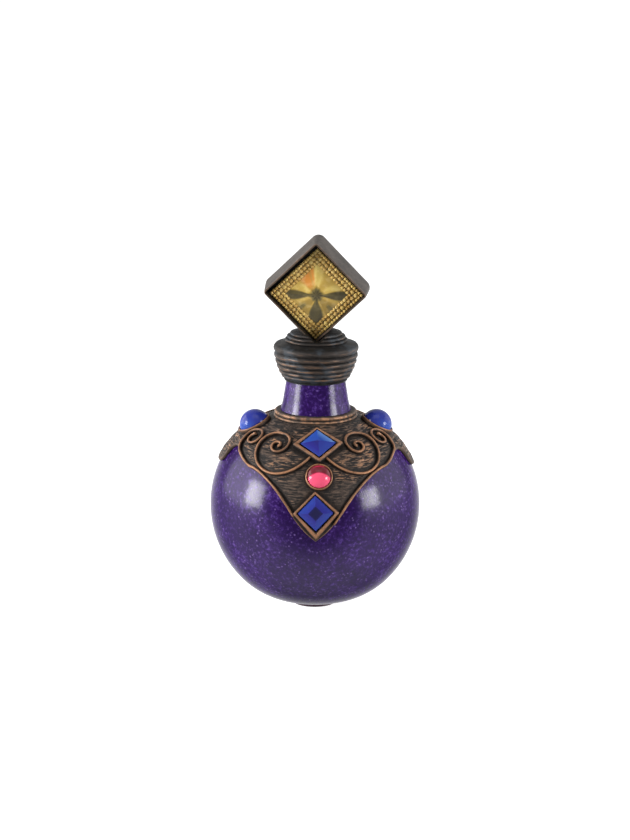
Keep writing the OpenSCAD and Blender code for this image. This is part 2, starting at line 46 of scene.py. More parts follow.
# Collar, its sleeve with two ridges, and the cords laid on it
COLLAR_T, COLLAR_TOP, SLEEVE_R, SLEEVE_SLOPE, POINT_LEAN, SIDE_SAG = 1.2, 37.1, 15, 0.17, -1.4, 1.6
RIDGE_R, UPPER_RIDGE_Z, LOWER_RIDGE_Z, RIDGE_SUNK = 0.7, 36.3, 34.7, 0.2
CORD_W, CORD_H, RIM_INSET, SCROLL_R, CURL_R = 1.3, 1.15, 0.7, 8.05, 5.1
# Stones and their rims
SQUARE_GEM, SQUARE_GEM_H, TABLE_SIDE, PEAK_SIDE, GIRDLE_H = 9.1, 2.6, 3.9, 1.6, 1.2
ROUND_GEM_R, ROUND_GEM_H, SIDE_GEM_R, SIDE_GEM_H = 4.25, 3.3, 5.7, 5.6
LOWER_GEM_AT, SIDE_GEM_TURN, STONE_GAP, SIDE_GAP = 10, 82, 0.2, 2.3
BEZEL_W, RING_W, GEM_SLACK, BEZEL_H, RING_H = 1.4, 0.7, 0.1, 1.5, 1.1
UPPER_DRAW, LOWER_DRAW = (0.75, 1.1, 0.85, 1.3), (0.7, 0.8, 1.15, 0.95)
UPPER_GEM_TURN, ROUND_GEM_TURN, LOWER_GEM_TURN, UPPER_GEM_ROLL, LOWER_GEM_ROLL = 0.3, 0.4, -1.5, 2, 1.5
# Stopper: ribbed bowl, ribbed tier, cork, setting and jewel
RIM_R, CAP_R, RIM_RIB_H, RIB_H, RIB_GROWTH, LOWER_RIBS, RIB_BULGE, RIB_START = 16.1, 12.3, 3, 1.5, 0.2, 5, 0.62, 0.8
TIER_R, TIER_RIBS, TIER_RIB_H, TIER_RISE, TIER_STEP, TIER_TOP_R, TIER_DOME_H = 11.9, 3, 1.2, 0.9, (0.55, 0.22), 8.2, 0.1
SETTING_FRONT, SETTING_BACK, SETTING_DEPTH, SETTING_RISE = 27.7, 29.8, 15.5, 33.8
FRONT_CORNER, BACK_CORNER, BACK_EDGE = 1.2, 3, 1.6
JEWEL_SIDE, JEWEL_SUNK, JEWEL_SLACK, JEWEL_T, BEAD_H, STAR_H = 24.4, 5, 0.9, 3, 0.6, 1.8
CROWN_YAW, CROWN_LEAN, CROWN_ROLL = -6, 3, 1
CORK_LEN, CORK_SOCKET, GLUE, CORK_GAP, LIP_GAP = 12, 5, 0.05, 0.08, 0.1
# The collar's edge from its front point to the side tab, as turn and slope angle, and the routes of the cords on it
OUTLINE = [
    [0, -5.3], [4.5, -1.5], [9, 3.2], [14.8, 10.5], [17.1, 13.4], [22.1, 18.9], [28.1, 23.7], [34.2, 28],
    [40.3, 30.9], [46.4, 32.4], [52.7, 35.2], [60.3, 39.6], [67.6, 41.9], [73.4, 41.5], [76.2, 38],
    [77.4, 32], [79.8, 27.4], [84.4, 25.2], [90, 24.8],
]
SAG_FROM, SAG_TO, LEAN_END = 58, 68, 50
RIM_FIRST_FRONT, RIM_FIRST_BACK, RIM_LAST, RIM_START_FRONT, RIM_START_BACK = 3, 1, 9, [11.6, 7.9], [1, -2.8]
RIM_CLIMB = [[56.7, 38.9], [61.9, 42], [65.4, 45.9]]
SCROLL_EYE, CURL_EYE, SCROLL_TIGHTEN, CURL_TIGHTEN = [30.8, 51.5], [57, 53.3], 0.215, 0.15

# ---------------------------------------------------------------- where drawn pieces depart from their solids
# Corners of the square stones' rims, drawn out: top, left, bottom, right
UPPER_LOOK, LOWER_LOOK = (0.65, 1.5, 1.25, 1.5), (0.8, 0.95, 1.75, 1.15)
# The scrolls and curls turn in further, and the right front rim cord runs on past the lower stone's corner
SCROLL_START_FRONT, SCROLL_START_BACK, SCROLL_END, CURL_START, CURL_END, TIP_INSET = -172, -168, 610, -14, 450, 0.45
# A slimmer cord, a fuller neck that flares into the collar, a wider foot, and a cap that reaches down round the lip
CORD_LOOK, NECK_MORE, NECK_FLARE, FOOT_LOOK, APRON = 0.9, 0.2, 0.35, 1.05, 0.55
# The jewel fills more of its recess, stands nearer the lip and tips its foot forward
JEWEL_LOOK, JEWEL_NEARER, JEWEL_TIP, JEWEL_ASIDE, JEWEL_UP = 25, 0.9, 2.5, 0.95, 0.35

# ---------------------------------------------------------------- the flask's surface
# Centres of the shoulder's and the underside's arcs: radius and height over the ball's middle
SC = ((BALL_R - SHOULDER_R) * math.cos(rad(SHOULDER_FROM)), (BALL_R - SHOULDER_R) * math.sin(rad(SHOULDER_FROM)))
UC = ((BALL_R - UNDER_R) * math.cos(rad(UNDER_FROM)), -(BALL_R - UNDER_R) * math.sin(rad(UNDER_FROM)))
FOOT_DROP = -UC[1] + math.sqrt(UNDER_R**2 - (FOOT_R - UC[0]) ** 2)
MID = FOOT_H + FOOT_DROP
NECK_FOOT_Z = SC[1] + math.sqrt(SHOULDER_R**2 - (NECK_FOOT_R - SC[0]) ** 2)
CAP_Z = LIP_Z + LIP_GAP
OUT = GLUE + COLLAR_T


def climb(a, v):
    """The slope angle that lies v further up the collar than the angle a."""
    low, high, k = BALL_R + OUT, SHOULDER_R + OUT, math.pi / 180
    s = (low if a <= SHOULDER_FROM else high) * (a - SHOULDER_FROM) * k + v
    return SHOULDER_FROM + s / (k * (low if s <= 0 else high))


def profile(a, off):
    """Radius and height over the middle at slope angle a, off outside the glaze."""
    if a <= SHOULDER_FROM:
        return (BALL_R + off) * math.cos(rad(a)), (BALL_R + off) * math.sin(rad(a))
    return SC[0] + (SHOULDER_R + off) * math.cos(rad(a)), SC[1] + (SHOULDER_R + off) * math.sin(rad(a))


def on_flask(t, a, off):
    r, z = profile(a, off)
    return np.array([r * math.sin(rad(t)), -r * math.cos(rad(t)), MID + z])


def normal_at(t, a):
    return np.array([math.sin(rad(t)) * math.cos(rad(a)), -math.cos(rad(t)) * math.cos(rad(a)), math.sin(rad(a))])


def sleeve(z):
    return SLEEVE_R + SLEEVE_SLOPE * (COLLAR_TOP - z)


def ridge_seat(z):
    return sleeve(z) - RIDGE_SUNK


def neck(z):
    return NECK_R + (NECK_FOOT_R - NECK_R) * (LIP_Z - z) / (LIP_Z - NECK_FOOT_Z)


def neck_look(z):
    return neck(z) + NECK_MORE + NECK_FLARE * ramp(COLLAR_TOP + 4 - z, 0, 5)


def square_reach(draw):
    return (SQUARE_GEM / 2 + GEM_SLACK + draw * BEZEL_W) * math.sqrt(2)


def rib_sum(n):
    return n * RIB_H + RIB_GROWTH * n * (n - 1) / 2


ROUND_REACH = ROUND_GEM_R + GEM_SLACK + RING_W
ROUND_GEM_AT = climb(LOWER_GEM_AT, square_reach(LOWER_DRAW[0]) + STONE_GAP + ROUND_REACH)
UPPER_GEM_AT = climb(ROUND_GEM_AT, square_reach(UPPER_DRAW[2]) + STONE_GAP + ROUND_REACH)
SIDE_NEAREST = ridge_seat(LOWER_RIDGE_Z) + RIDGE_R + SIDE_GAP
SIDE_GEM_AT = deg(math.acos((SIDE_NEAREST - SC[0]) / math.hypot(SHOULDER_R + OUT, SIDE_GEM_R)))
SIDE_GEM_AT -= deg(math.atan2(SIDE_GEM_R, SHOULDER_R + OUT))
RIM_Z = CAP_Z + RIB_START + rib_sum(LOWER_RIBS) + RIM_RIB_H / 2
TIER_Z = RIM_Z + RIM_RIB_H / 2 + TIER_RISE
CAP_TOP = TIER_Z + TIER_RIBS * TIER_RIB_H + TIER_DOME_H


# ---------------------------------------------------------------- routes on the flask's surface, as [turn, slope angle]
def beside(eye, u, v):
    a = climb(eye[1], v)
    return [eye[0] + deg(u / profile(a, OUT)[0]), a]


def spiral(eye, r, tighten, start, end, n):
    """A spiral round the eye that draws in; its steps grow towards the eye."""
    out = []
    for i in range(n + 1):
        x = i / n
        w = start + (end - start) * (0.52 * x + 0.48 * x * x)
        q = r * math.exp(-tighten * rad(w))
        out.append(beside(eye, q * math.cos(rad(w)), q * math.sin(rad(w))))
    return out


def smooth(points, n):
    """A smooth curve through the points, with n steps between one and the next."""
    p = [np.array(v, float) for v in points]
    out = []
    for i in range(len(p) - 1):
        a = p[i - 1] if i > 0 else 2 * p[0] - p[1]
        b, c = p[i], p[i + 1]
        d = p[i + 2] if i + 2 < len(p) else 2 * p[i + 1] - p[i]
        for x in (j / n for j in range(n)):
            slope, bend, twist = c - a, 2 * a - 5 * b + 4 * c - d, 3 * b - 3 * c + d - a
            out.append(0.5 * (2 * b + slope * x + bend * x**2 + twist * x**3))
    return [list(v) for v in out] + [list(p[-1])]


def inset(i, d):
    """Corner point i of the outline, moved by d into the collar, square to the edge."""
    p, q = np.array(OUTLINE[i], float), np.array(OUTLINE[i + 1], float) - np.array(OUTLINE[i - 1], float)
    c = math.cos(rad(p[1]))
    s = np.array([q[0] * c, q[1]])
    s /= np.linalg.norm(s)
    return list(p + deg(d / (BALL_R + OUT)) * np.array([-s[1] / c, s[0]]))


def leaned(p, lean):
    return [p[0] + lean * max(0, 1 - p[0] / LEAN_END), p[1]]


def sagged(p, sag):
    return [p[0], p[1] - sag * min(1, max(0, (p[0] - SAG_FROM) / (SAG_TO - SAG_FROM)))]


def rim_route(start, first):
    edge = [start] + [inset(i, RIM_INSET) for i in range(first, RIM_LAST + 1)]
    curl = spiral(CURL_EYE, CURL_R, CURL_TIGHTEN, CURL_START, CURL_END, 60)
    return smooth(edge + RIM_CLIMB + [curl[0]], 8) + curl[1:]


def scroll_route(start):
    return spiral(SCROLL_EYE, SCROLL_R, SCROLL_TIGHTEN, start, SCROLL_END, 150)


# ---------------------------------------------------------------- repeatable noise, for hand-made unevenness
NOISE_ORIGIN = 1000.0


def vnoise(axes, seed=0):
    """Smooth noise from -1 to 1 at the points with these three axes."""
    p = np.stack(np.broadcast_arrays(*axes), -1).astype(float) + NOISE_ORIGIN
    i = np.floor(p).astype(np.int64)
    f = p - i
    f = f * f * (3 - 2 * f)
    out = 0
    for c in range(8):
        o = np.array([c & 1, c >> 1 & 1, c >> 2 & 1])
        q = i + o
        h = (q[..., 0] * 374761393 + q[..., 1] * 668265263 + q[..., 2] * 2147483647 + seed * 974634777) & 0xFFFFFFFF
        h = ((h ^ (h >> 13)) * 1274126177) & 0xFFFFFFFF
        h = (h ^ (h >> 16)) & 0xFFFF
        w = np.prod(np.where(o == 1, f, 1 - f), axis=-1)
        out = out + w * (h / 32767.5 - 1)
    return out


def fnoise(axes, seed=0, octaves=3):
    return sum(vnoise([a * 2**k for a in axes], seed + 17 * k) * 0.5**k for k in range(octaves))


def ramp(x, lo, hi):
    t = np.clip((np.asarray(x, float) - lo) / (hi - lo), 0, 1)
    return t * t * (3 - 2 * t)


# ---------------------------------------------------------------- materials
class Nodes:
    """The node tree of a material or world, with short ways to add to it."""

    def __init__(self, owner, main, **settings):
        owner.use_nodes = True
        self.owner, self.tree = owner, owner.node_tree
        self.main = self.tree.nodes[main]
        for k, v in settings.items():
            self.main.inputs[k.replace("_", " ")].default_value = v

    def new(self, kind, inputs=None, **settings):
        n = self.tree.nodes.new(kind)
        for k, v in settings.items():
            setattr(n, k, v)
        for k, v in (inputs or {}).items():
            self.feed(n.inputs[k], v)
        return n

    def link(self, a, b):
        self.tree.links.new(a, b)

    def feed(self, socket, v):
        """Gives a socket a number, a colour or vector, or another node's output."""
        if isinstance(v, (int, float)):
            socket.default_value = v
        elif isinstance(v, tuple):
            socket.default_value = (*v, 1) if len(v) == 3 and socket.type == "RGBA" else v
        else:
            self.link(v, socket)

    def put(self, name, source):
        self.link(source, self.main.inputs[name])

    def coords(self):
        return self.new("ShaderNodeTexCoord").outputs["Object"]

    def attr(self, name):
        return self.new("ShaderNodeAttribute", attribute_name=name).outputs["Fac"]

    def noise(self, scale, detail=2, rough=0.5, stretch=None, distort=0):
        c = self.coords()
        if stretch:
            c = self.new("ShaderNodeMapping", {"Scale": stretch, "Vector": c}).outputs["Vector"]
        settings = {"Scale": scale, "Detail": detail, "Roughness": rough, "Distortion": distort, "Vector": c}
        return self.new("ShaderNodeTexNoise", settings).outputs["Fac"]

    def step(self, value, lo, hi, to=(0, 1)):
        settings = {"From Min": lo, "From Max": hi, "To Min": to[0], "To Max": to[1], "Value": value}
        return self.new("ShaderNodeMapRange", settings, interpolation_type="SMOOTHSTEP").outputs["Result"]

    def math(self, op, a, b):
        return self.new("ShaderNodeMath", {0: a, 1: b}, operation=op).outputs[0]

    def times(self, a, b):
        return self.math("MULTIPLY", a, b)

    def mix(self, fac, a, b):
        return self.new("ShaderNodeMix", {0: fac, 6: a, 7: b}, data_type="RGBA").outputs[2]

    def shade(self, value, stops):
        """A colour for the value, between stops of (position, colour)."""
        n = self.new("ShaderNodeValToRGB", {"Fac": value})
        points = n.color_ramp.elements
        for point, (at, colour) in zip(points, (stops[0], stops[-1])):
            point.position, point.color = at, (*colour, 1)
        for at, colour in stops[1:-1]:
            points.new(at).color = (*colour, 1)
        return n.outputs["Color"]

    def shown(self):
        """1 for the rays that see the background: camera, glossy and transmission rays."""
        rays = self.new("ShaderNodeLightPath").outputs
        mirrored = self.math("MAXIMUM", rays["Is Glossy Ray"], rays["Is Transmission Ray"])
        return self.math("MAXIMUM", rays["Is Camera Ray"], mirrored)

    def bump(self, height, distance, strength):
        n = self.new("ShaderNodeBump", {"Distance": distance, "Strength": strength, "Height": height})
        self.put("Normal", n.outputs["Normal"])


def new_material(name, **settings):
    return Nodes(bpy.data.materials.new(name), "Principled BSDF", **settings)


def srgb(r, g, b):
    lin = lambda c: c / 12.92 if c <= 0.04045 else ((c + 0.055) / 1.055) ** 2.4
    return tuple(lin(c / 255) for c in (r, g, b))


def glaze_material():
    """Dark violet glaze with clouds of soft flecks and small pale dots, glossiest at a slant."""
    m = new_material("violet_glaze", IOR=1.3)
    fleck_scale = 760
    cloud = m.noise(70, 3, 0.6)
    fleck = m.noise(fleck_scale, 4, 0.66, distort=0.3)
    spot = m.new("ShaderNodeTexVoronoi", {"Scale": fleck_scale, "Vector": m.coords()}).outputs["Distance"]
    veil = m.times(m.step(fleck, 0.5, 0.7), m.step(cloud, 0.32, 0.72, (0.35, 1)))
    dots = m.times(m.step(spot, 0.36, 0.14), m.step(m.noise(260, 2, 0.5), 0.46, 0.64))
    base = m.mix(m.step(cloud, 0.35, 0.7), srgb(34, 12, 66), srgb(45, 19, 82))
    base = m.mix(m.step(fleck, 0.5, 0.3), base, srgb(28, 10, 57))
    base = m.mix(m.times(veil, 0.8), base, srgb(92, 65, 146))
    base = m.mix(m.times(dots, 0.42), base, srgb(142, 114, 188))
    m.put("Base Color", base)
    m.put("Roughness", m.step(fleck, 0.3, 0.7, (0.15, 0.22)))
    facing = m.new("ShaderNodeLayerWeight", {"Blend": 0.5}).outputs["Facing"]
    m.put("Specular IOR Level", m.times(m.step(facing, 0.04, 0.2, (0.2, 1)), m.step(facing, 0.25, 0.6, (0.52, 0.06))))
    m.bump(fleck, 0.00005, 0.3)
    return m.owner


def bronze_material(name, dark, mid, high, low_rough=0.62, high_rough=0.4, grain=None, cool=None, lines=False):
    """Dark paint with metal rubbed on what stands out: rise is the height of the relief, and the other attribute
    darkens the colour as painted shade in creases, grooves and hollows.
    """
    m = new_material(name, Metallic=0.2, IOR=1.28)
    fine = m.noise(900, 3, 0.6, stretch=grain)
    patch = m.noise(110, 3, 0.6)
    worn = m.math("ADD", m.attr("rise"), m.times(m.math("SUBTRACT", fine, 0.5), 0.6))
    height, deep = fine, 0.00005
    if lines:
        thread = m.noise(280, 3, 0.6, stretch=(1, 1, 8.5), distort=0.8)
        cut = m.times(m.step(thread, 0.4, 0.62, (-0.6, 0.62)), m.attr("grain"))
        worn = m.math("ADD", worn, cut)
        height, deep = m.math("ADD", m.times(fine, 0.3), cut), 0.00012
    base = m.mix(m.step(worn, 0.05, 0.5), dark, mid)
    if cool:
        base = m.mix(m.times(m.step(patch, 0.48, 0.6), 0.7), base, cool)
    rub = m.times(m.step(worn, 0.5, 1.05), m.step(patch, 0.34, 0.6, (0.55, 1)))
    base = m.mix(rub, base, high)
    # painted shade: darker towards black in creases, grooves and hollows
    base = m.mix(m.times(m.attr("painted_shade"), 0.88), base, tuple(0.3 * c for c in dark))
    m.put("Base Color", base)
    m.put("Roughness", m.step(worn, 0.3, 0.9, (low_rough, high_rough)))
    m.bump(height, deep, 0.6)
    return m.owner


def stone_material(name, stops):
    """Coloured glass over foil: tone picks a colour between the stops, and the tones are painted light and shade."""
    m = new_material(name, Roughness=0.1, IOR=1.26)
    m.put("Base Color", m.shade(m.attr("tone"), stops))
    return m.owner


def citrine_material():
    """The jewel's gold foil, warmer where warm says so, with paler beads and a little sparkle of painted glints."""
    m = new_material("citrine_stone", IOR=1.3)
    tone, bead = m.attr("tone"), m.attr("rise")
    gold = m.shade(tone, (
        (0.05, srgb(62, 56, 36)), (0.3, srgb(104, 92, 50)), (0.52, srgb(154, 126, 58)), (0.76, srgb(188, 156, 76)),
        (1, srgb(238, 220, 130)),
    ))
    base = m.mix(m.times(m.attr("warm"), 0.8), gold, srgb(214, 134, 58))
    base = m.mix(m.times(bead, 0.55), base, srgb(190, 150, 88))
    # painted glints: pale spots where the tone is high
    base = m.mix(m.times(m.step(m.noise(420, 3, 0.6), 0.45, 0.7, (0, 0.3)), tone), base, srgb(245, 224, 160))
    m.put("Base Color", base)
    m.put("Roughness", m.step(bead, 0, 1, (0.14, 0.26)))
    return m.owner


def cork_material():
    m = new_material("cork", Roughness=0.85)
    crumb = m.noise(700, 4, 0.7)
    base = m.mix(m.step(crumb, 0.5, 0.62), srgb(196, 152, 104), srgb(168, 120, 76))
    base = m.mix(m.step(m.noise(260, 3, 0.6), 0.6, 0.68), base, srgb(104, 68, 42))
    m.put("Base Color", base)
    m.bump(crumb, 0.0003, 0.6)
    return m.owner


def felt_material():
    m = new_material("felt", Roughness=0.95, Sheen_Weight=0.3)
    nap = m.noise(2600, 3, 0.7)
    m.put("Base Color", m.mix(m.step(nap, 0.35, 0.65), srgb(56, 36, 48), srgb(86, 62, 74)))
    m.bump(nap, 0.0002, 0.5)
    return m.owner


GLAZE = glaze_material()
FELT = felt_material()
CORK = cork_material()
CITRINE = citrine_material()
BRONZE = bronze_material("bronze", srgb(25, 22, 21), srgb(84, 70, 61), srgb(168, 124, 92), lines=True)
COPPER = bronze_material("copper", srgb(22, 17, 14), srgb(86, 62, 46), srgb(154, 110, 80), 0.6, 0.42)
CAP_BRONZE = bronze_material("bronze_stopper", srgb(14, 12, 11), srgb(42, 37, 34), srgb(114, 85, 64),
                             grain=(0.25, 0.25, 2.5), cool=srgb(54, 60, 66))
SETTING = bronze_material("bronze_setting", srgb(10, 8, 8), srgb(62, 55, 49), srgb(116, 90, 70), 0.5, 0.36,
                          grain=(0.5, 0.5, 1.6))
BLUE = stone_material("blue_stone", (
    (0, srgb(20, 18, 56)), (0.35, srgb(36, 34, 122)), (0.65, srgb(44, 76, 160)), (1, srgb(112, 154, 214)),
))
RED = stone_material("red_stone", ((0, srgb(60, 26, 27)), (0.5, srgb(200, 44, 82)), (1, srgb(232, 86, 120))))


# ---------------------------------------------------------------- meshes
CORNERS = ((1, 1), (-1, 1), (-1, -1), (1, -1))


def piece(name, verts, faces, node, body, material, attrs=None, angle=None, flat=False):
    """A mesh piece from millimetre points, which stands for a CAD node and rides on a body."""
    me = bpy.data.meshes.new(name)
    me.from_pydata((np.asarray(verts, float) * MM).tolist(), [], [list(f) for f in faces])
    me.validate()
    me.update()
    me.polygons.foreach_set("use_smooth", [not flat] * len(me.polygons))
    if angle is not None:
        me.set_sharp_from_angle(angle=rad(angle))
    for key, values in (attrs or {}).items():
        me.attributes.new(key, "FLOAT", "POINT").data.foreach_set("value", np.asarray(values, np.float32))
    me.materials.append(material)
    ob = bpy.data.objects.new(name, me)
    bpy.context.scene.collection.objects.link(ob)
    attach(ob, body)
    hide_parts(node)


def grid_faces(rows, cols, flip=False):
    """Faces of a grid of rows that close on themselves."""
    out = []
    for i in range(rows - 1):
        for j in range(cols):
            k = (j + 1) % cols
            f = [i * cols + j, i * cols + k, (i + 1) * cols + k, (i + 1) * cols + j]
            out.append(f[::-1] if flip else f)
    return out


def around(r, z, angle):
    """Points at a radius and height, turned from the front by an angle in radians."""
    return np.stack(np.broadcast_arrays(r * np.sin(angle), -r * np.cos(angle), z), -1)


def turns(n):
    return np.arange(n) * 2 * math.pi / n


def turned_piece(name, section, segments, node, body, material):
    """A section turned about +Z; it runs up the outside, and its first and last points are closed by caps."""
    r, z = np.array(section, float).T[..., None]
    faces = grid_faces(len(section), segments)
    faces.append(list(range(segments))[::-1])
    faces.append([(len(section) - 1) * segments + j for j in range(segments)])
    piece(name, around(r, z, turns(segments)).reshape(-1, 3), faces, node, body, material, angle=50)


def arc(cx, cz, r, a0, a1, n):
    w = [rad(a0 + (a1 - a0) * i / n) for i in range(n + 1)]
    return [[cx + r * math.cos(x), cz + r * math.sin(x)] for x in w]


# ---------------------------------------------------------------- the flask and its foot
def make_bottle():
    """The hollow flask: up the outside, over the lip, down the bore and round the inside."""
    foot_end = deg(math.atan2(-FOOT_DROP - UC[1], FOOT_R - UC[0]))
    neck_end = deg(math.acos((NECK_FOOT_R + 0.5 - SC[0]) / SHOULDER_R))
    out = [[0.4, -FOOT_DROP]] + [[x, -FOOT_DROP] for x in np.linspace(2, FOOT_R - 0.3, 4)]
    out += arc(*UC, UNDER_R, foot_end, -UNDER_FROM, 26)
    out += arc(0, 0, BALL_R, -UNDER_FROM, SHOULDER_FROM, 54)[1:]
    out += arc(*SC, SHOULDER_R, SHOULDER_FROM, neck_end, 34)[1:]
    out += [[neck_look(NECK_FOOT_Z + 0.45) + 0.08, NECK_FOOT_Z + 0.3]]
    out += [[neck_look(z), z] for z in np.linspace(NECK_FOOT_Z + 0.8, LIP_Z - 0.6, 22)]
    out += arc(NECK_R + NECK_MORE - 0.42, LIP_Z - 0.5, 0.5, 10, 90, 5)
    out += arc(BORE_R + 0.4, LIP_Z - 0.4, 0.4, 90, 180, 4)
    # the same arcs inside, one wall further in
    bore_end = deg(math.acos((BORE_R - SC[0]) / (SHOULDER_R - WALL)))
    bore_z = SC[1] + (SHOULDER_R - WALL) * math.sin(rad(bore_end))
    axis_end = deg(math.atan2(-(UNDER_R - WALL), 0.5 - UC[0]))
    out += [[BORE_R, z] for z in np.linspace(LIP_Z - 3, bore_z, 8)]
    out += arc(*SC, SHOULDER_R - WALL, bore_end, SHOULDER_FROM, 16)[1:]
    out += arc(0, 0, BALL_R - WALL, SHOULDER_FROM, -UNDER_FROM, 26)[1:]
    out += [[max(x, 0.4), z] for x, z in arc(*UC, UNDER_R - WALL, -UNDER_FROM, axis_end, 14)[1:] if x > 0.3]
    turned_piece("bottle_glaze", [[x, MID + z] for x, z in out], 224, "bottle", "bottle", GLAZE)


def make_foot():
    wide, low, high = FOOT_R * FOOT_LOOK, 0.35, 0.25
    pts = [[0.3, 0], [wide - 0.4, 0]] + arc(wide - low, low, low, -90, 0, 4)[1:]
    pts += [[wide, FOOT_H - 0.3]] + arc(wide - high, FOOT_H - high, high, 0, 90, 3) + [[0.3, FOOT_H]]
    turned_piece("foot_disc", pts, 96, "foot_pad", "bottle", FELT)


# ---------------------------------------------------------------- the collar
# Its grid: columns all round, and rows on the slope and on the sleeve
COLLAR_COLS, FACE_ROWS, CROWN_ROWS = 420, 170, 46
# The slope angle at which its section starts, and the radii of its hem and of the sleeve's top edge
SECTION_FROM, HEM_R, TOP_ROUND = -12, 0.5, 0.28


def outline_ring():
    """The collar's edge all round as turn against angle, the same line that the CAD cuts."""
    right = [sagged(p, SIDE_SAG) for p in smooth(OUTLINE, 8)]
    left = [sagged(p, -SIDE_SAG) for p in smooth(OUTLINE, 8)]
    ring = [leaned(p, POINT_LEAN) for p in right] + [[180 - p[0], p[1]] for p in right[-2:0:-1]]
    ring += [[180 + p[0], p[1]] for p in left]
    ring += [[360 - q[0], q[1]] for q in [leaned(p, -POINT_LEAN) for p in left[-2:0:-1]]]
    return np.array(ring + [[360 + ring[0][0], ring[0][1]]])


def collar_columns(ring, n):
    """Turns of the grid's columns, closer together where the edge runs steeply."""
    step = np.hypot(np.diff(ring[:, 0]), 0.75 * np.diff(ring[:, 1]))
    along = np.concatenate([[0], np.cumsum(step)])
    return np.interp(np.arange(n) / n * along[-1], along, ring[:, 0])


def sleeve_side(z):
    """Radius of the sleeve's outside with its two ridges, and how far up a ridge the point lies."""
    r, top = sleeve(z), 0.0
    for rz in (UPPER_RIDGE_Z, LOWER_RIDGE_Z):
        d2 = RIDGE_R**2 - (z - rz) ** 2
        if d2 > 0:
            q = ridge_seat(rz) + math.sqrt(d2)
            top = max(top, (q - sleeve(z)) / (RIDGE_R - RIDGE_SUNK))
            r = max(r, q)
    return r, top


def collar_section():
    """The collar's outside from below its edge up to the neck: [radius, height, ridge share], normal, arc length, and
    the height at which the sleeve starts."""
    pts = [[*profile(a, OUT), 0.0] for a in np.linspace(SECTION_FROM, 80, 1400)]
    pts = [p for p in pts if p[0] > sleeve(p[1]) + 0.25]
    z0 = pts[-1][1]
    for z in np.linspace(z0 + 0.12, COLLAR_TOP - TOP_ROUND, 110):
        r, top = sleeve_side(z)
        pts.append([r, z, top])
    pts += [[SLEEVE_R - TOP_ROUND + x, COLLAR_TOP - TOP_ROUND + y, 0.25] for x, y in arc(0, 0, TOP_ROUND, 20, 90, 6)]
    inner = neck(COLLAR_TOP) + GLUE + 0.03
    pts += [[x, COLLAR_TOP - 0.02, 0.0] for x in np.linspace(SLEEVE_R - 0.45, inner, 24)]
    p = np.array(pts)
    length = np.concatenate([[0], np.cumsum(np.hypot(np.diff(p[:, 0]), np.diff(p[:, 1])))])
    tangent = np.stack([np.gradient(p[:, k], length) for k in (0, 1)], 1)
    kernel = np.ones(5) / 5
    tangent = np.stack([np.convolve(np.pad(tangent[:, k], 2, "edge"), kernel, "valid") for k in (0, 1)], 1)
    tangent /= np.linalg.norm(tangent, axis=1)[:, None]
    return p, np.stack([tangent[:, 1], -tangent[:, 0]], 1), length, z0


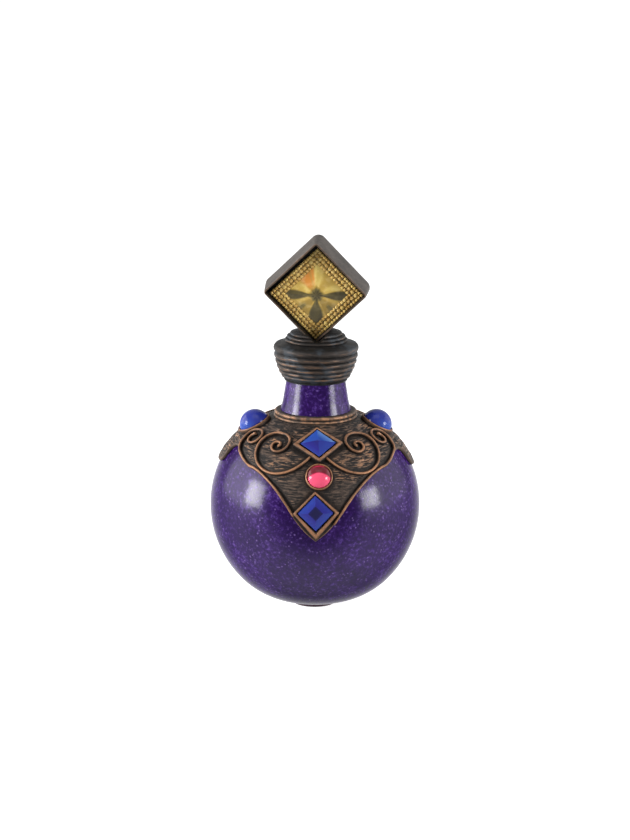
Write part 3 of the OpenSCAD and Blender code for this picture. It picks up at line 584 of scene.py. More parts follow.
def make_collar(near):
    """The shell as a fine grid from its hem up to the neck, hammered, and pressed in beside the points near."""
    p, n, length, z0 = collar_section()
    ring = outline_ring()
    t = collar_columns(ring, COLLAR_COLS)
    edge_a = np.interp(t, ring[:, 0], ring[:, 1])
    # along the section: the hem, the sleeve's foot, and the top
    low = np.radians(np.minimum(edge_a, SHOULDER_FROM) - SECTION_FROM) * (BALL_R + OUT)
    low = low + np.radians(np.maximum(edge_a - SHOULDER_FROM, 0)) * (SHOULDER_R + OUT)
    foot = length[int(np.argmin(np.abs(p[:, 1] - z0) + 9 * (p[:, 2] > 0)))]
    crown, high = foot - 0.6, length[-1]
    hem = np.radians([0, 22, 45, 68, 90])
    v = [low + HEM_R * (1 - math.cos(x)) for x in hem]
    v += [low + HEM_R + (crown - low - HEM_R) * x for x in np.linspace(0, 1, FACE_ROWS + 1)[1:]]
    v += [np.full(COLLAR_COLS, crown + (high - crown) * x) for x in np.linspace(0, 1, CROWN_ROWS + 1)[1:]]
    off = [np.full(COLLAR_COLS, -HEM_R * (1 - math.sin(x))) for x in hem]
    off += [np.zeros(COLLAR_COLS)] * (FACE_ROWS + CROWN_ROWS)
    v, off = np.array(v), np.array(off)
    angle = np.radians(np.repeat(t[None, :], len(v), 0))
    r, z, ridge, nr, nz = (np.interp(v, length, c) for c in (*p.T, *n.T))
    P, N = around(r, MID + z, angle), around(nr, nz, angle)
    # u and v run round and up the shell in millimetres; dist is how far a stone or cord is
    u, inward = angle * 30, v - low
    tree = KDTree(len(near))
    for i, q in enumerate(near):
        tree.insert(q, i)
    tree.balance()
    dist = np.array([tree.find(q)[2] for q in P.reshape(-1, 3)]).reshape(v.shape)
    flow = 0.9 * vnoise((u / 9, v / 6, 0), 5) + 0.3 * vnoise((u / 3, v / 2.5, 0), 6)
    streak = fnoise((u / 4.2, (v + flow) / 0.55, 0), 11, 2)
    hammer = fnoise((u / 2.4, v / 1.7, 4), 23, 2)
    zone = ramp(vnoise((u / 8, v / 6, 0), 31), -0.6, 0.25)
    face = ramp(inward, 0.8, 3.0) * ramp(foot - v, 0.3, 2.5) * ramp(dist, 0.9, 1.8)
    grainy = face * (0.3 + 0.7 * zone)
    relief = 0.15 * np.clip(streak, -0.8, 0.8) * grainy + 0.06 * hammer * (1 - 0.6 * grainy) * ramp(dist, 0.5, 1.3)
    relief = np.where(v > foot - 0.3, 0.035 * hammer + 0.02 * streak, relief)
    press = -0.14 * ramp(1.2 - dist, 0, 0.8) * ramp(foot - v, 0, 0.6)
    V = P + N * (off + relief * ramp(inward, 0, 1.2) + press - 0.03)[..., None]
    # the inside, from the neck down to the hem
    slope_top = deg(math.acos((NECK_FOOT_R + 0.4 - SC[0]) / (SHOULDER_R + GLUE)))
    inside = [(neck(COLLAR_TOP) + GLUE, COLLAR_TOP - 0.15), (neck(NECK_FOOT_Z) + GLUE + 0.05, NECK_FOOT_Z + 0.25)]
    under = [np.tile(q, (COLLAR_COLS, 1)) for q in inside]
    for f in (0.12, 0.3, 0.5, 0.7, 0.88, 1.0):
        under.append(np.array([profile(x, GLUE + 0.02) for x in slope_top + (edge_a - slope_top) * f]))
    under = np.array(under)
    U = around(under[..., 0], MID + under[..., 1], angle[:1])
    verts = np.concatenate([V.reshape(-1, 3), U.reshape(-1, 3)])
    total = len(V) + len(U)
    faces = grid_faces(total, COLLAR_COLS)
    last = (total - 1) * COLLAR_COLS
    follow = [(j + 1) % COLLAR_COLS for j in range(COLLAR_COLS)]
    faces += [[last + j, last + k, k, j] for j, k in enumerate(follow)]
    # metal rubbed on the streaks, the ridges and the hem, most at the point; painted shade beside stones, cords and
    # ridges, round the sleeve's foot, on the sleeve off its ridges and at the neck
    rise = 0.24 + 0.22 * np.clip(streak, -0.5, 0.9) * grainy + 0.10 * hammer
    tip = ramp(LOWER_GEM_AT - edge_a, 0, 6) * ramp(90 - np.abs((t + 90) % 360 - 90), 0, 20)
    worn_ring = 0.5 + 0.22 * vnoise((u / 7, v / 3, 9), 47) + 0.1 * hammer
    rise = rise + worn_ring * ramp(ridge, 0.1, 0.6) + (0.30 + 0.4 * tip) * ramp(1.0 - inward, 0, 0.8)
    painted_shade = 0.75 * ramp(1.9 - dist, 0, 1.1) * ramp(foot - v, 0, 0.8)
    painted_shade = np.maximum(painted_shade, 0.85 * ramp(1.0 - np.abs(v - foot), 0, 0.9) * (1 - ramp(ridge, 0.0, 0.4)))
    painted_shade = np.maximum(painted_shade, np.where(v > foot, 0.75 * (1 - ramp(ridge, 0.05, 0.5)) * (z < COLLAR_TOP - 0.4), 0))
    at_neck = 0.35 + 0.5 * ramp(neck(COLLAR_TOP) + 0.9 - r, 0, 0.8)
    painted_shade = np.maximum(painted_shade, np.where(z > COLLAR_TOP - 0.1, at_neck, 0))
    pad = np.zeros(len(U) * COLLAR_COLS)
    attrs = {k: np.concatenate([a.ravel(), pad]) for k, a in (("rise", rise), ("painted_shade", painted_shade), ("grain", grainy))}
    piece("collar_bronze", verts, faces, "collar", "bottle", BRONZE, attrs, angle=60)


# ---------------------------------------------------------------- cords
CORD_STEP = 0.28
CORD_SECTION = [
    (-0.40, 0.0), (-0.49, 0.14), (-0.5, 0.36), (-0.44, 0.6), (-0.3, 0.83), (-0.12, 0.97),
    (0.12, 0.97), (0.3, 0.83), (0.44, 0.6), (0.5, 0.36), (0.49, 0.14), (0.40, 0.0),
]


def make_cord(name, route, lean, sides, seed):
    """A cord along a route on the right front of the collar, mirrored to its own side; its last end swells a little."""
    pts = [leaned(p, lean) for p in route]
    base = np.array([on_flask(t, a, OUT + GLUE) for t, a in pts])
    up = np.array([normal_at(t, a) for t, a in pts])
    # even steps along the route
    d = np.concatenate([[0], np.cumsum(np.linalg.norm(np.diff(base, axis=0), axis=1))])
    n, m = int(d[-1] / CORD_STEP), len(CORD_SECTION)
    s = np.linspace(0, d[-1], n)
    base, up = (np.stack([np.interp(s, d, q[:, k]) for k in range(3)], 1) for q in (base, up))
    up /= np.linalg.norm(up, axis=1)[:, None]
    along = np.gradient(base, axis=0)
    along /= np.linalg.norm(along, axis=1)[:, None]
    side = np.cross(along, up)
    # uneven as if laid by hand, with rounded ends
    base = base + side * (0.07 * vnoise((s / 4.0, 0, 0), seed))[:, None]
    wide = 1 + 0.06 * vnoise((s / 2.2, 3, 0), seed + 1)
    tall = 0.96 + 0.06 * vnoise((s / 2.6, 7, 0), seed + 2)
    end = np.minimum(s, d[-1] - s)
    cap = np.maximum(np.sqrt(np.clip(1 - (1 - np.clip(end / 0.62, 0, 1)) ** 2, 0.0, 1)), 0.12)
    swell = 1 + 0.3 * np.exp(-(((d[-1] - s) - 0.8) / 0.75) ** 2)
    rings = []
    for x, h in CORD_SECTION:
        across, high = x * CORD_LOOK * CORD_W * wide * cap * swell, h * CORD_H * tall * (0.3 + 0.7 * cap) * swell
        rings.append(base + side * across[:, None] + up * high[:, None])
    V = np.stack(rings, 1).reshape(-1, 3) * (*sides, 1)
    # the cord's top is lighter: copper rubbed on it, and in part a painted highlight
    crest = np.tile(ramp([h for _, h in CORD_SECTION], 0.5, 1.0), n)
    blotch = 0.16 * fnoise((np.repeat(s, m) / 3.0, np.tile(np.arange(m), n) / 6.0, 0), seed + 5)
    rise = np.clip(0.1 + 0.86 * crest + blotch, 0, 1.2)
    mirrored = sides[0] * sides[1] < 0
    faces = grid_faces(n, m, flip=mirrored)
    first, last = list(range(m)), [(n - 1) * m + j for j in range(m)]
    faces += [first, last[::-1]] if mirrored else [first[::-1], last]
    label = name.replace("cord", "wire") if "cord" in name else name + "_wire"
    # painted shade on the cord's low sides, where it meets the collar
    attrs = {"rise": rise, "painted_shade": 0.8 * ramp(0.35 - rise, 0, 0.35)}
    piece(label, V, faces, name, "bottle", COPPER, attrs, angle=70)
    return V


# ---------------------------------------------------------------- stones and their rims
def seat_frame(t, a, off, roll=0):
    """A place on the collar: its point, the directions across and up the slope, and the normal."""
    n = normal_at(t, a)
    e1 = np.array([math.cos(rad(t)), math.sin(rad(t)), 0])
    e2 = np.cross(n, e1)
    k, s = math.cos(rad(roll)), math.sin(rad(roll))
    return on_flask(t, a, off), k * e1 + s * e2, -s * e1 + k * e2, n


def place_in(seat, pts):
    c, x, y, n = seat
    p = np.asarray(pts, float)
    return c + p[:, :1] * x + p[:, 1:2] * y + p[:, 2:3] * n


def surface_drop(seat, pts, off):
    """How far below the seat's plane the collar lies under each point, for rims that follow it."""
    out = []
    for p in pts:
        lo, hi = -4.0, 1.5
        for _ in range(26):
            mid = (lo + hi) / 2
            q = seat[0] + p[0] * seat[1] + p[1] * seat[2] + mid * seat[3]
            r, z = math.hypot(q[0], q[1]), q[2] - MID
            if z <= r * math.tan(rad(SHOULDER_FROM)):
                inside = math.hypot(r, z) < BALL_R + off
            else:
                inside = math.hypot(r - SC[0], z - SC[1]) < SHOULDER_R + off
            lo, hi = (mid, hi) if inside else (lo, mid)
        out.append((lo + hi) / 2)
    return np.array(out)


def rim_piece(name, verts, crest, rows, least, shade_depth):
    """A stone's rim from rings of points that run from the inside over the crest and down the outside."""
    n = len(verts) // rows
    faces = grid_faces(rows, n, flip=True)
    last = (rows - 1) * n
    faces += [[j, (j + 1) % n, last + (j + 1) % n, last + j] for j in range(n)]
    # painted shade on the rim's low walls, inside and out, down to the collar
    attrs = {"rise": np.clip(least + 0.85 * crest, 0, 1), "painted_shade": shade_depth * ramp(0.3 - crest, 0, 0.3)}
    piece(name + "_rim", verts, faces, name, "bottle", COPPER, attrs, angle=55)


# Sections of the rims: how far out across the rim and how high up it; BELOW means down to the collar
BELOW = -9
SQUARE_RIM = [
    (0.06, BELOW), (0.02, 0.3), (0.2, 0.62), (0.36, 0.9), (0.56, 1.0), (0.76, 0.96), (0.92, 0.78), (1.0, 0.42),
    (0.98, BELOW),
]
ROUND_RIM = [(0.0, BELOW), (0.0, 0.6), (0.14, 0.86), (0.5, 1.0), (0.86, 0.86), (1.0, 0.6), (1.0, BELOW)]


def make_square_bezel(name, t, a, roll, draw, seed):
    """The rim of a square stone: its corners are drawn out by the parts in draw, and its foot follows the collar."""
    seat = seat_frame(t, a, OUT, roll + 45)
    inner, per = SQUARE_GEM / 2 + GEM_SLACK, 26
    x = np.arange(per)[:, None] / per
    V, crest = [], []
    for w, h in SQUARE_RIM:
        c = np.array(CORNERS) * (inner + w * BEZEL_W * np.array(draw))[:, None]
        q = np.concatenate([c[k] + (c[(k + 1) % 4] - c[k]) * x for k in range(4)])
        reach = np.abs(q).min(1) / np.abs(q).max(1)
        q = q * (1 - 0.018 * w * np.clip((reach - 0.9) / 0.1, 0, 1)[:, None] ** 2)
        q = q * (1 + 0.006 * w * vnoise((*(q / 2.4).T, 2), seed))[:, None]
        lump = 0.05 * vnoise((*(q / 1.6).T, 5), seed + 3)
        high = surface_drop(seat, q, OUT + GLUE) if h == BELOW else BEZEL_H * (h + lump * (h > 0.5))
        V.append(np.column_stack([q, high]))
        crest.append(np.full(len(q), ramp(h, 0.58, 1.0)) + lump * 2.5 * (h > 0.8))
    world = place_in(seat, np.concatenate(V))
    rim_piece(name, world, np.concatenate(crest), len(SQUARE_RIM), 0.05, 0.9)
    return world[-4 * per:]


def make_round_bezel(name, t, a, gem_r, cut_ridge):
    """The rim of a round stone, trimmed where the sleeve's ridges pass; returns points along its middle."""
    seat = seat_frame(t, a, OUT)
    n = 96
    V, crest = [], []
    w = turns(n)
    path = np.stack([np.cos(w), np.sin(w)], 1)
    for s, h in ROUND_RIM:
        q = path * (gem_r + GEM_SLACK + RING_W * s) * (1 + 0.004 * np.sin(5 * w + 4))[:, None]
        V.append(np.column_stack([q, surface_drop(seat, q, OUT + GLUE) if h == BELOW else np.full(n, RING_H * h)]))
        crest.append(np.full(n, ramp(h, 0.3, 1.0)))
    V = np.concatenate(V)
    if cut_ridge:
        world = place_in(seat, V)
        r, z = np.hypot(world[:, 0], world[:, 1]), world[:, 2] - MID
        for rz in (LOWER_RIDGE_Z, UPPER_RIDGE_Z):
            short = np.clip(RIDGE_R + GLUE - np.hypot(r - ridge_seat(rz), z - rz), 0, None)
            V[:, :2] *= 1 - (short / np.maximum(np.hypot(V[:, 0], V[:, 1]), 1e-6))[:, None]
    rim_piece(name, place_in(seat, V), np.concatenate(crest), len(ROUND_RIM), 0.1, 0.8)
    w = turns(72)
    return place_in(seat, np.stack([(gem_r + 0.3) * np.cos(w), (gem_r + 0.3) * np.sin(w), 0 * w], 1))


def make_square_gem(node, t, a, roll, table, tones):
    """Square stone: a girdle, a small bevel, four slopes and a table with an inner square; the tones paint light and
    shade on each facet, standing for the reflections of a cut stone.
    """
    s, k, g, h = SQUARE_GEM / 2 + GEM_SLACK - 0.02, table / 2, GIRDLE_H, SQUARE_GEM_H
    bevel, foil = 0.18, 0.62
    V, F, T = [], [], []

    def facet(points, *tone):
        F.append(list(range(len(V), len(V) + len(points))))
        V.extend(points)
        T.extend(tone if len(tone) > 1 else tone * len(points))

    def band(i, low, low_z, high, high_z):
        c, d = CORNERS[i], CORNERS[(i + 1) % 4]
        places = ((c, low, low_z), (d, low, low_z), (d, high, high_z), (c, high, high_z))
        return [(q[0] * size, q[1] * size, z) for q, size, z in places]

    for i, (lo, hi) in enumerate(tones["facets"]):
        facet(band(i, s, 0, s, g - 0.1), 0.0)
        facet(band(i, s, g - 0.1, s - bevel, g + 0.05), tones["rim"])
        facet(band(i, s - bevel, g + 0.05, k, h), lo, lo, hi, hi)
    for i, (lo, hi) in enumerate(tones["table"]):
        facet(band(i, k, h, k * foil, h), lo, lo, hi, hi)
        facet(band(i, k * foil, h, 0, h)[:3], hi)
    facet([(c[0] * s, c[1] * s, 0) for c in CORNERS[::-1]], 0.0)
    seat = seat_frame(t, a, OUT + GLUE, roll + 45)
    piece(node + "_stone", place_in(seat, V), F, node, "bottle", BLUE, {"tone": T}, flat=True)


def make_dome(node, t, a, r, h, material, tone):
    """Round stone: a straight girdle under a dome that is part of a ball."""
    rise, edge, rows, n = h - GIRDLE_H, r - 0.03, 32, 80
    R = (r * r + rise * rise) / (2 * rise)
    end = math.asin(min(1, edge / R))
    if rise > R:
        end = math.pi - end
    sec = [[edge, 0.0], [edge, GIRDLE_H * 0.5], [edge, GIRDLE_H - 0.05]]
    sec += [[R * math.sin(w), h - R + R * math.cos(w)] for w in (end * (1 - i / rows) for i in range(1, rows + 1))]
    w = turns(n)
    V = [np.column_stack([q[0] * np.cos(w), q[0] * np.sin(w), np.full(n, q[1])]) for q in sec[:-1]]
    V = np.concatenate(V + [np.array([[0, 0, sec[-1][1]]])])
    faces = grid_faces(len(sec) - 1, n)
    tip = (len(sec) - 1) * n
    faces += [[tip - n + j, tip - n + (j + 1) % n, tip] for j in range(n)]
    faces.append(list(range(n))[::-1])
    world = place_in(seat_frame(t, a, OUT + GLUE), V)
    piece(node + "_stone", world, faces, node, "bottle", material, {"tone": tone(V)}, angle=60)


# ---------------------------------------------------------------- the stopper
def polar(a):
    return np.array([math.cos(rad(a)), math.sin(rad(a))])


def crown_matrix():
    """Turns of the setting: about its depth on to a corner, back by its lean, and to one side."""
    (cz, sz), (cx, sx), (cy, sy) = (polar(a) for a in (CROWN_YAW, CROWN_LEAN, CROWN_ROLL + 45))
    yaw = np.array([[cz, -sz, 0], [sz, cz, 0], [0, 0, 1]])
    lean = np.array([[1, 0, 0], [0, cx, -sx], [0, sx, cx]])
    roll = np.array([[cy, 0, sy], [0, 1, 0], [-sy, 0, cy]])
    return yaw @ lean @ roll


CROWN_M = crown_matrix()
CROWN_C = np.array([0, 0, MID + CAP_Z + SETTING_RISE])


def crown_world(p):
    return np.asarray(p, float) @ CROWN_M.T + CROWN_C


def cap_section():
    """The cap's outline from the underside's middle up to the top's middle, and how much of a rib's crest each is."""
    rim, foot = CAP_R - 0.8, CAP_Z - APRON
    pts = [[0.3, CAP_Z], [CAP_R - 0.85, CAP_Z], [rim, foot], [CAP_R - 0.4, foot], [CAP_R - 0.25, CAP_Z + 0.1]]
    crest = [0.0] * len(pts)

    def rib(r, z, h, n=11, shine=1.0):
        k = RIB_BULGE * h
        half = math.asin(min(1, (h / 2 - 0.02) / k))
        for w in np.linspace(-half, half, n):
            pts.append([r - k + k * math.cos(w), z + k * math.sin(w)])
            crest.append(shine * (1 - abs(w / half) ** 1.6))

    rib(CAP_R - 0.35, CAP_Z + RIB_START - 0.25, RIB_H * 0.7, 7, 0.6)
    for i in range(LOWER_RIBS):
        h = RIB_H + RIB_GROWTH * i
        z = CAP_Z + RIB_START + rib_sum(i) + h / 2
        rib(RIM_R - (RIM_R - CAP_R) * ((RIM_Z - z) / (RIM_Z - CAP_Z)) ** 2, z, h)
    rib(RIM_R, RIM_Z, RIM_RIB_H, 17, 0.84)
    step = [[RIM_R - 2.0, RIM_Z + RIM_RIB_H / 2 - 0.05], [TIER_R + 1.2, TIER_Z - 0.55], [TIER_R + 0.2, TIER_Z - 0.2]]
    pts += step
    crest += [0.3] * len(step)
    for i in range(TIER_RIBS):
        r = TIER_R - i * (TIER_STEP[0] + i * TIER_STEP[1])
        rib(r, TIER_Z + TIER_RIB_H * (i + 0.5), TIER_RIB_H, 9, 0.9)
    top = [[x, CAP_TOP] for x in np.linspace(TIER_TOP_R, 0.3, 30)]
    p, crest = np.array(pts + top), np.array(crest + [0.25] * len(top))
    keep = np.concatenate([[True], np.linalg.norm(np.diff(p, axis=0), axis=1) > 0.015])
    return p[keep], crest[keep]


def make_cap():
    p, crest = cap_section()
    segs = 288
    t, r, z = np.broadcast_arrays(turns(segs), p[:, :1], p[:, 1:2])
    # ribs as if turned by hand
    place = np.array([np.sin(t) * 2.2, -np.cos(t) * 2.2, z / 2.4])
    live = np.clip((r - 3) / 6, 0, 1)
    fine = vnoise((np.sin(t) * 9, -np.cos(t) * 9, z * 1.5), 9)
    r2 = r + (0.07 * vnoise(place * 1.9 + 5, 8) + 0.035 * fine) * live - 0.05 * live
    z2 = z + 0.10 * vnoise(place, 3) * live * ramp(z - CAP_Z, 0.2, 1.2)
    # a notch in the upper rings lets the setting's lower corner show in front of them
    corner = CAP_Z + SETTING_RISE - SETTING_FRONT / math.sqrt(2)
    notch = np.maximum(corner + np.abs(r2 * np.sin(t)) + 0.2, TIER_Z + TIER_RIB_H + 0.1)
    z2 = np.where((r2 * np.cos(t) > SETTING_DEPTH / 2 - 1.5) & (z2 > notch), notch, z2)
    V = around(r2, MID + z2, t).reshape(-1, 3)
    # no faces where the setting's block stands in the cap
    x, y, w = ((V - CROWN_C) @ CROWN_M).T
    half = SETTING_FRONT / 2 + 0.03
    half = half + (SETTING_BACK - SETTING_FRONT) / 2 * (y + SETTING_DEPTH / 2) / (SETTING_DEPTH - BACK_EDGE)
    inside = (np.maximum(np.abs(x), np.abs(w)) < half - 0.2) & (np.abs(y) < SETTING_DEPTH / 2 - 0.1)
    inside = inside.reshape(len(p), segs).astype(int)
    pairs = inside + np.roll(inside, -1, 1)
    hidden = (pairs[:-1] + pairs[1:]).ravel() > 1
    faces = [f for f, skip in zip(grid_faces(len(p), segs), hidden) if not skip]
    faces.append(list(range(segs))[::-1])
    rise = np.repeat(crest[:, None], segs, 1)
    rise = 0.12 + 0.62 * rise**2.2 + 0.24 * fnoise((np.sin(t) * 5, -np.cos(t) * 5, z / 0.45), 41)
    # painted shade in the grooves between the ribs, and a lighter painted shade on the ledge below the tier
    painted_shade = np.repeat((ramp(0.3 - crest, 0, 0.3))[:, None], segs, 1) * 0.8
    painted_shade = np.where((z > RIM_Z + 1.0) & (z < TIER_Z - 0.1), 0.35, painted_shade)
    attrs = {"rise": rise.ravel(), "painted_shade": painted_shade.ravel()}
    piece("stopper_ribs", V, faces, "stopper_cap", "stopper", CAP_BRONZE, attrs, angle=70)


def make_cork():
    r, z0, z1 = BORE_R - CORK_GAP, CAP_Z - CORK_LEN, CAP_Z + CORK_SOCKET - GLUE
    pts = [[0.3, z0], [r - 1.0, z0], [r - 0.75, z0 + 0.08], [r - 0.1, z0 + 0.8], [r, z0 + 1.1]]
    pts += [[r, CAP_Z], [r, z1], [0.3, z1]]
    turned_piece("cork_plug", [[x, MID + z] for x, z in pts], 96, "stopper_cork", "stopper", CORK)


def rounded_square(half, corner, n_side=14, n_corner=10):
    out = []
    for k in range(4):
        c, d = (np.array(CORNERS[i % 4]) * (half - corner) for i in (k, k + 1))
        out += [c + corner * polar(90 * k + 90 * j / n_corner) for j in range(n_corner + 1)]
        e = d + corner * polar(90 * (k + 1))
        for j in range(1, n_side):
            out.append(out[-1] + (e - out[-1]) * (1 / (n_side - j + 1)))
    return np.array(out)


def make_setting():
    """The square block: loops of a rounded square from the recess's floor, over the lip, along the side and round the
    back, as [half side, corner's radius, depth]."""
    s, f, b = JEWEL_SIDE / 2 + JEWEL_SLACK, SETTING_FRONT / 2, SETTING_BACK / 2
    d, lip = SETTING_DEPTH / 2, 0.35
    loops = [(s, 0.12, -d + (JEWEL_SUNK + JEWEL_T + GLUE)), (s, 0.12, -d + 2.0), (s + 0.02, 0.25, -d + 0.3)]
    loops += [(s + 0.12, 0.35, -d + 0.06), (f - 0.3, 0.9, -d)]
    loops += [(f - 0.12, FRONT_CORNER, -d + 0.08), (f, FRONT_CORNER + 0.1, -d + lip)]
    steps = 14
    for x in (i / steps for i in range(1, steps + 1)):
        corner = FRONT_CORNER + (BACK_CORNER - FRONT_CORNER) * x
        loops.append((f + (b - f) * (x**0.8) - 0.02, corner, -d + lip + (2 * d - BACK_EDGE - lip) * x))
    for w in np.linspace(15, 90, 6):
        fall, high = 1 - math.cos(rad(w)), (BACK_EDGE - 0.01) * math.sin(rad(w))
        loops.append((b - BACK_EDGE * fall - 0.02, BACK_CORNER - 0.3 * fall, d - BACK_EDGE + high))
    # the loops: 0 to 2 lie in the recess, 3 to 6 make the lip, and the last one closes the back
    V, rise, painted_shade = [], [], []
    for i, (half, corner, y) in enumerate(loops):
        q = rounded_square(half, corner)
        if 6 <= i < len(loops) - 1:
            q = q * (1 - (0.05 + 0.05 * vnoise((*(q / 4).T, y / 4), 61)) / half)[:, None]
        V.append(np.column_stack([q[:, 0], np.full(len(q), y), q[:, 1]]))
        rise.append(np.full(len(q), 0.72 if 3 <= i <= 6 else 0.42))
        # painted shade: full in the recess, a little on the lip's inner edge
        painted_shade.append(np.full(len(q), 1.0 if i <= 2 else 0.25 if i == 3 else 0.0))
    n = len(V[0])
    V = np.concatenate(V)
    faces = grid_faces(len(loops), n, flip=True)
    faces.append(list(range(n)))
    faces.append([(len(loops) - 1) * n + j for j in range(n)][::-1])
    attrs = {"rise": np.concatenate(rise) + 0.12 * fnoise((V / 5).T, 77), "painted_shade": np.concatenate(painted_shade)}
    piece("jewel_block", crown_world(V), faces, "jewel_setting", "stopper", SETTING, attrs, angle=40)


# The star in the jewel's foil, clockwise from its top corner: wedges, dark petals that swell outwards and dark spots as
# angle, half width and tone, and warm patches as angle and half width
WEDGES = (
    (-36, 26, 0.6), (4, 16, 0.84), (36, 16, 0.72), (72, 20, 0.82), (138, 24, 0.5), (222, 24, 0.52), (292, 22, 0.8),
)
PETALS = ((93, 15, 0.12), (181, 23, 0.12), (268, 15, 0.14))
SPOTS = ((136, 9, 0.3), (228, 8, 0.3))
WARM = ((-34, 24), (-12, 6))
STAR_RINGS = (0.0, 0.08, 0.16, 0.24, 0.34, 0.48, 0.62, 0.76, 0.88, 1.0)
RAYS_A_SIDE = 36
# The border's rows of beads from the outside in: how many along a side; a bead's rings as share of its size and height
BEADS_A_SIDE = (20, 13, 14)
BEAD_RINGS = ((1.0, -0.02), (0.9, 0.34), (0.66, 0.72), (0.34, 0.94))


def apart(a, b):
    return abs((a - b + 180) % 360 - 180)


def star_tone(w, r):
    """Tone of the jewel's foil at an angle and at a share of the way out: gold wedges, dark petals, a dark middle."""
    tone = 0.76
    for c, width, value in WEDGES:
        tone += (value - tone) * (1 - ramp(apart(w, c) / width, 0.55, 1.0))
    for c, width, value in PETALS:
        swollen = width * (0.3 + 0.8 * math.sin(math.pi * min(1, 0.72 * r)))
        tone += (value - tone) * (1 - ramp(apart(w, c) / swollen, 0.6, 1.0)) * ramp(r, 0.1, 0.4)
    for c, width, value in SPOTS:
        tone += (value - tone) * (1 - ramp(apart(w, c) / width, 0.4, 1.0)) * ramp(r, 0.6, 0.75)
    return float(tone + (0.1 - tone) * (1 - ramp(r, 0.16, 0.36)))


def star_warmth(w, r):
    return float(max(1 - ramp(apart(w, c) / width, 0.3, 1) for c, width in WARM) * ramp(r, 0.25, 0.6))


def make_jewel():
    """A foil-backed jewel: a border of three rows of beads round a star of thin facets that rise to the middle."""
    half, top = JEWEL_LOOK / 2, JEWEL_T
    inn = half
    for n in BEADS_A_SIDE:
        inn -= 2 * inn / n
    V, F, tone, bead, warm = [], [], [], [], []

    def add(points, tones, bead_share, warmth=None):
        V.extend(points)
        tone.extend(tones)
        bead.extend([bead_share] * len(points))
        warm.extend(warmth or [0.0] * len(points))
        return len(V) - len(points)

    def facet(points, *extra):
        start = add(points, *extra)
        F.append(list(range(start, start + len(points))))

    # the slab and the ledge under the beads
    e = half - 0.03
    rim = [(-e, -e), (e, -e), (e, e), (-e, e)]
    for i in range(4):
        p, q = rim[i], rim[(i + 1) % 4]
        p2, q2 = ((c[0] * (1 - 0.012), c[1] * (1 - 0.012)) for c in (p, q))
        p3, q3 = ((c[0] / e * inn, c[1] / e * inn) for c in (p, q))
        facet([(*p, 0), (*q, 0), (*q, top - 0.12), (*p, top - 0.12)], [0.5] * 4, 0.0)
        facet([(*p, top - 0.12), (*q, top - 0.12), (*q2, top), (*p2, top)], [0.9] * 4, 0.0)
        facet([(*p2, top), (*q2, top), (*q3, top), (*p3, top)], [0.42] * 4, 0.0)
    facet([(*p, 0) for p in rim[::-1]], [0.3] * 4, 0.0)
    # the star: facets between rays from the middle to the border, in rings so that the tone can change outwards
    rays = []
    for k in range(4):
        c0, c1 = np.array(rim[k]) / e * inn, np.array(rim[(k + 1) % 4]) / e * inn
        rays += [c0 + (c1 - c0) * j / RAYS_A_SIDE for j in range(RAYS_A_SIDE)]
    from_top = [deg(math.atan2(q[0], q[1])) + 45 for q in rays]
    for i, p in enumerate(rays):
        k = (i + 1) % len(rays)
        for a, b in zip(STAR_RINGS[:-1], STAR_RINGS[1:]):
            outer = [(p, from_top[i], b), (rays[k], from_top[k], b)]
            inner = [(rays[k], from_top[k], a), (p, from_top[i], a)] if a > 0 else [(p, from_top[i], 0)]
            spoke = 0.05 * math.sin(i * 12.9898 + 7 * a) * (1.4 if b < 0.4 else 0.6)
            points = [(*(c * x), top + STAR_H * (1 - x)) for c, _, x in outer + inner]
            tones = [min(1, max(0, star_tone(w, x) + spoke)) for _, w, x in outer + inner]
            facet(points, tones, 0.0, [star_warmth(w, x) for _, w, x in outer + inner])
    # the beads: eight-sided domes, each a little out of place
    eighths = [polar(45 * k + 22.5) for k in range(8)]
    edge = half
    for row, n in enumerate(BEADS_A_SIDE):
        cell = 2 * edge / n
        for i, j in ((i, j) for i in range(n) for j in range(n) if {i, j} & {0, n - 1}):
            chance = math.sin(i * 12.9898 + j * 78.233 + row * 37.7) * 43758.5453
            chance -= math.floor(chance)
            cx, cy = (i + 0.5) * cell - edge + 0.12 * cell * (chance - 0.5), (j + 0.5) * cell - edge
            shade, size = 0.66 + 0.3 * chance, cell * (0.54 + 0.05 * chance)
            # painted shade and a painted highlight: each bead's foot ring takes half its tone and its peak a lighter
            # tone
            for level, (rr, zz) in enumerate(BEAD_RINGS):
                ring = [(cx + size * rr * c, cy + size * rr * s, top + BEAD_H * zz) for c, s in eighths]
                start = add(ring, [shade * (1 if level else 0.5)] * 8, 1.0)
                if level:
                    F += [[start - 8 + k, start - 8 + (k + 1) % 8, start + (k + 1) % 8, start + k] for k in range(8)]
            peak = add([(cx, cy, top + BEAD_H)], [min(1, shade + 0.25)], 1.0)
            F += [[start + k, start + (k + 1) % 8, peak] for k in range(8)]
        edge -= cell
    # the square's diagonals are the jewel's upright and level lines; out is towards the viewer
    x, y, z = np.array(V).T
    upright, level, out = (x + y) / math.sqrt(2), (x - y) / math.sqrt(2) + JEWEL_ASIDE, z - JEWEL_T
    c, s = polar(JEWEL_TIP)
    upright, out = c * upright + s * out + JEWEL_UP, c * out - s * upright + JEWEL_NEARER
    depth = JEWEL_SUNK - SETTING_DEPTH / 2 - out
    local = np.column_stack([(upright + level) / math.sqrt(2), depth, (upright - level) / math.sqrt(2)])
    V, attrs = crown_world(local), {"tone": tone, "rise": bead, "warm": warm}
    piece("crown_jewel_gold", V, F, "crown_jewel", "stopper", CITRINE, attrs, flat=True)


# ---------------------------------------------------------------- the part
make_bottle()
make_foot()
front_rim, long_rim = (rim_route(start, RIM_FIRST_FRONT) for start in (RIM_START_FRONT, inset(2, TIP_INSET)))
back_rim = rim_route(RIM_START_BACK, RIM_FIRST_BACK)
front_scroll, back_scroll = scroll_route(SCROLL_START_FRONT), scroll_route(SCROLL_START_BACK)
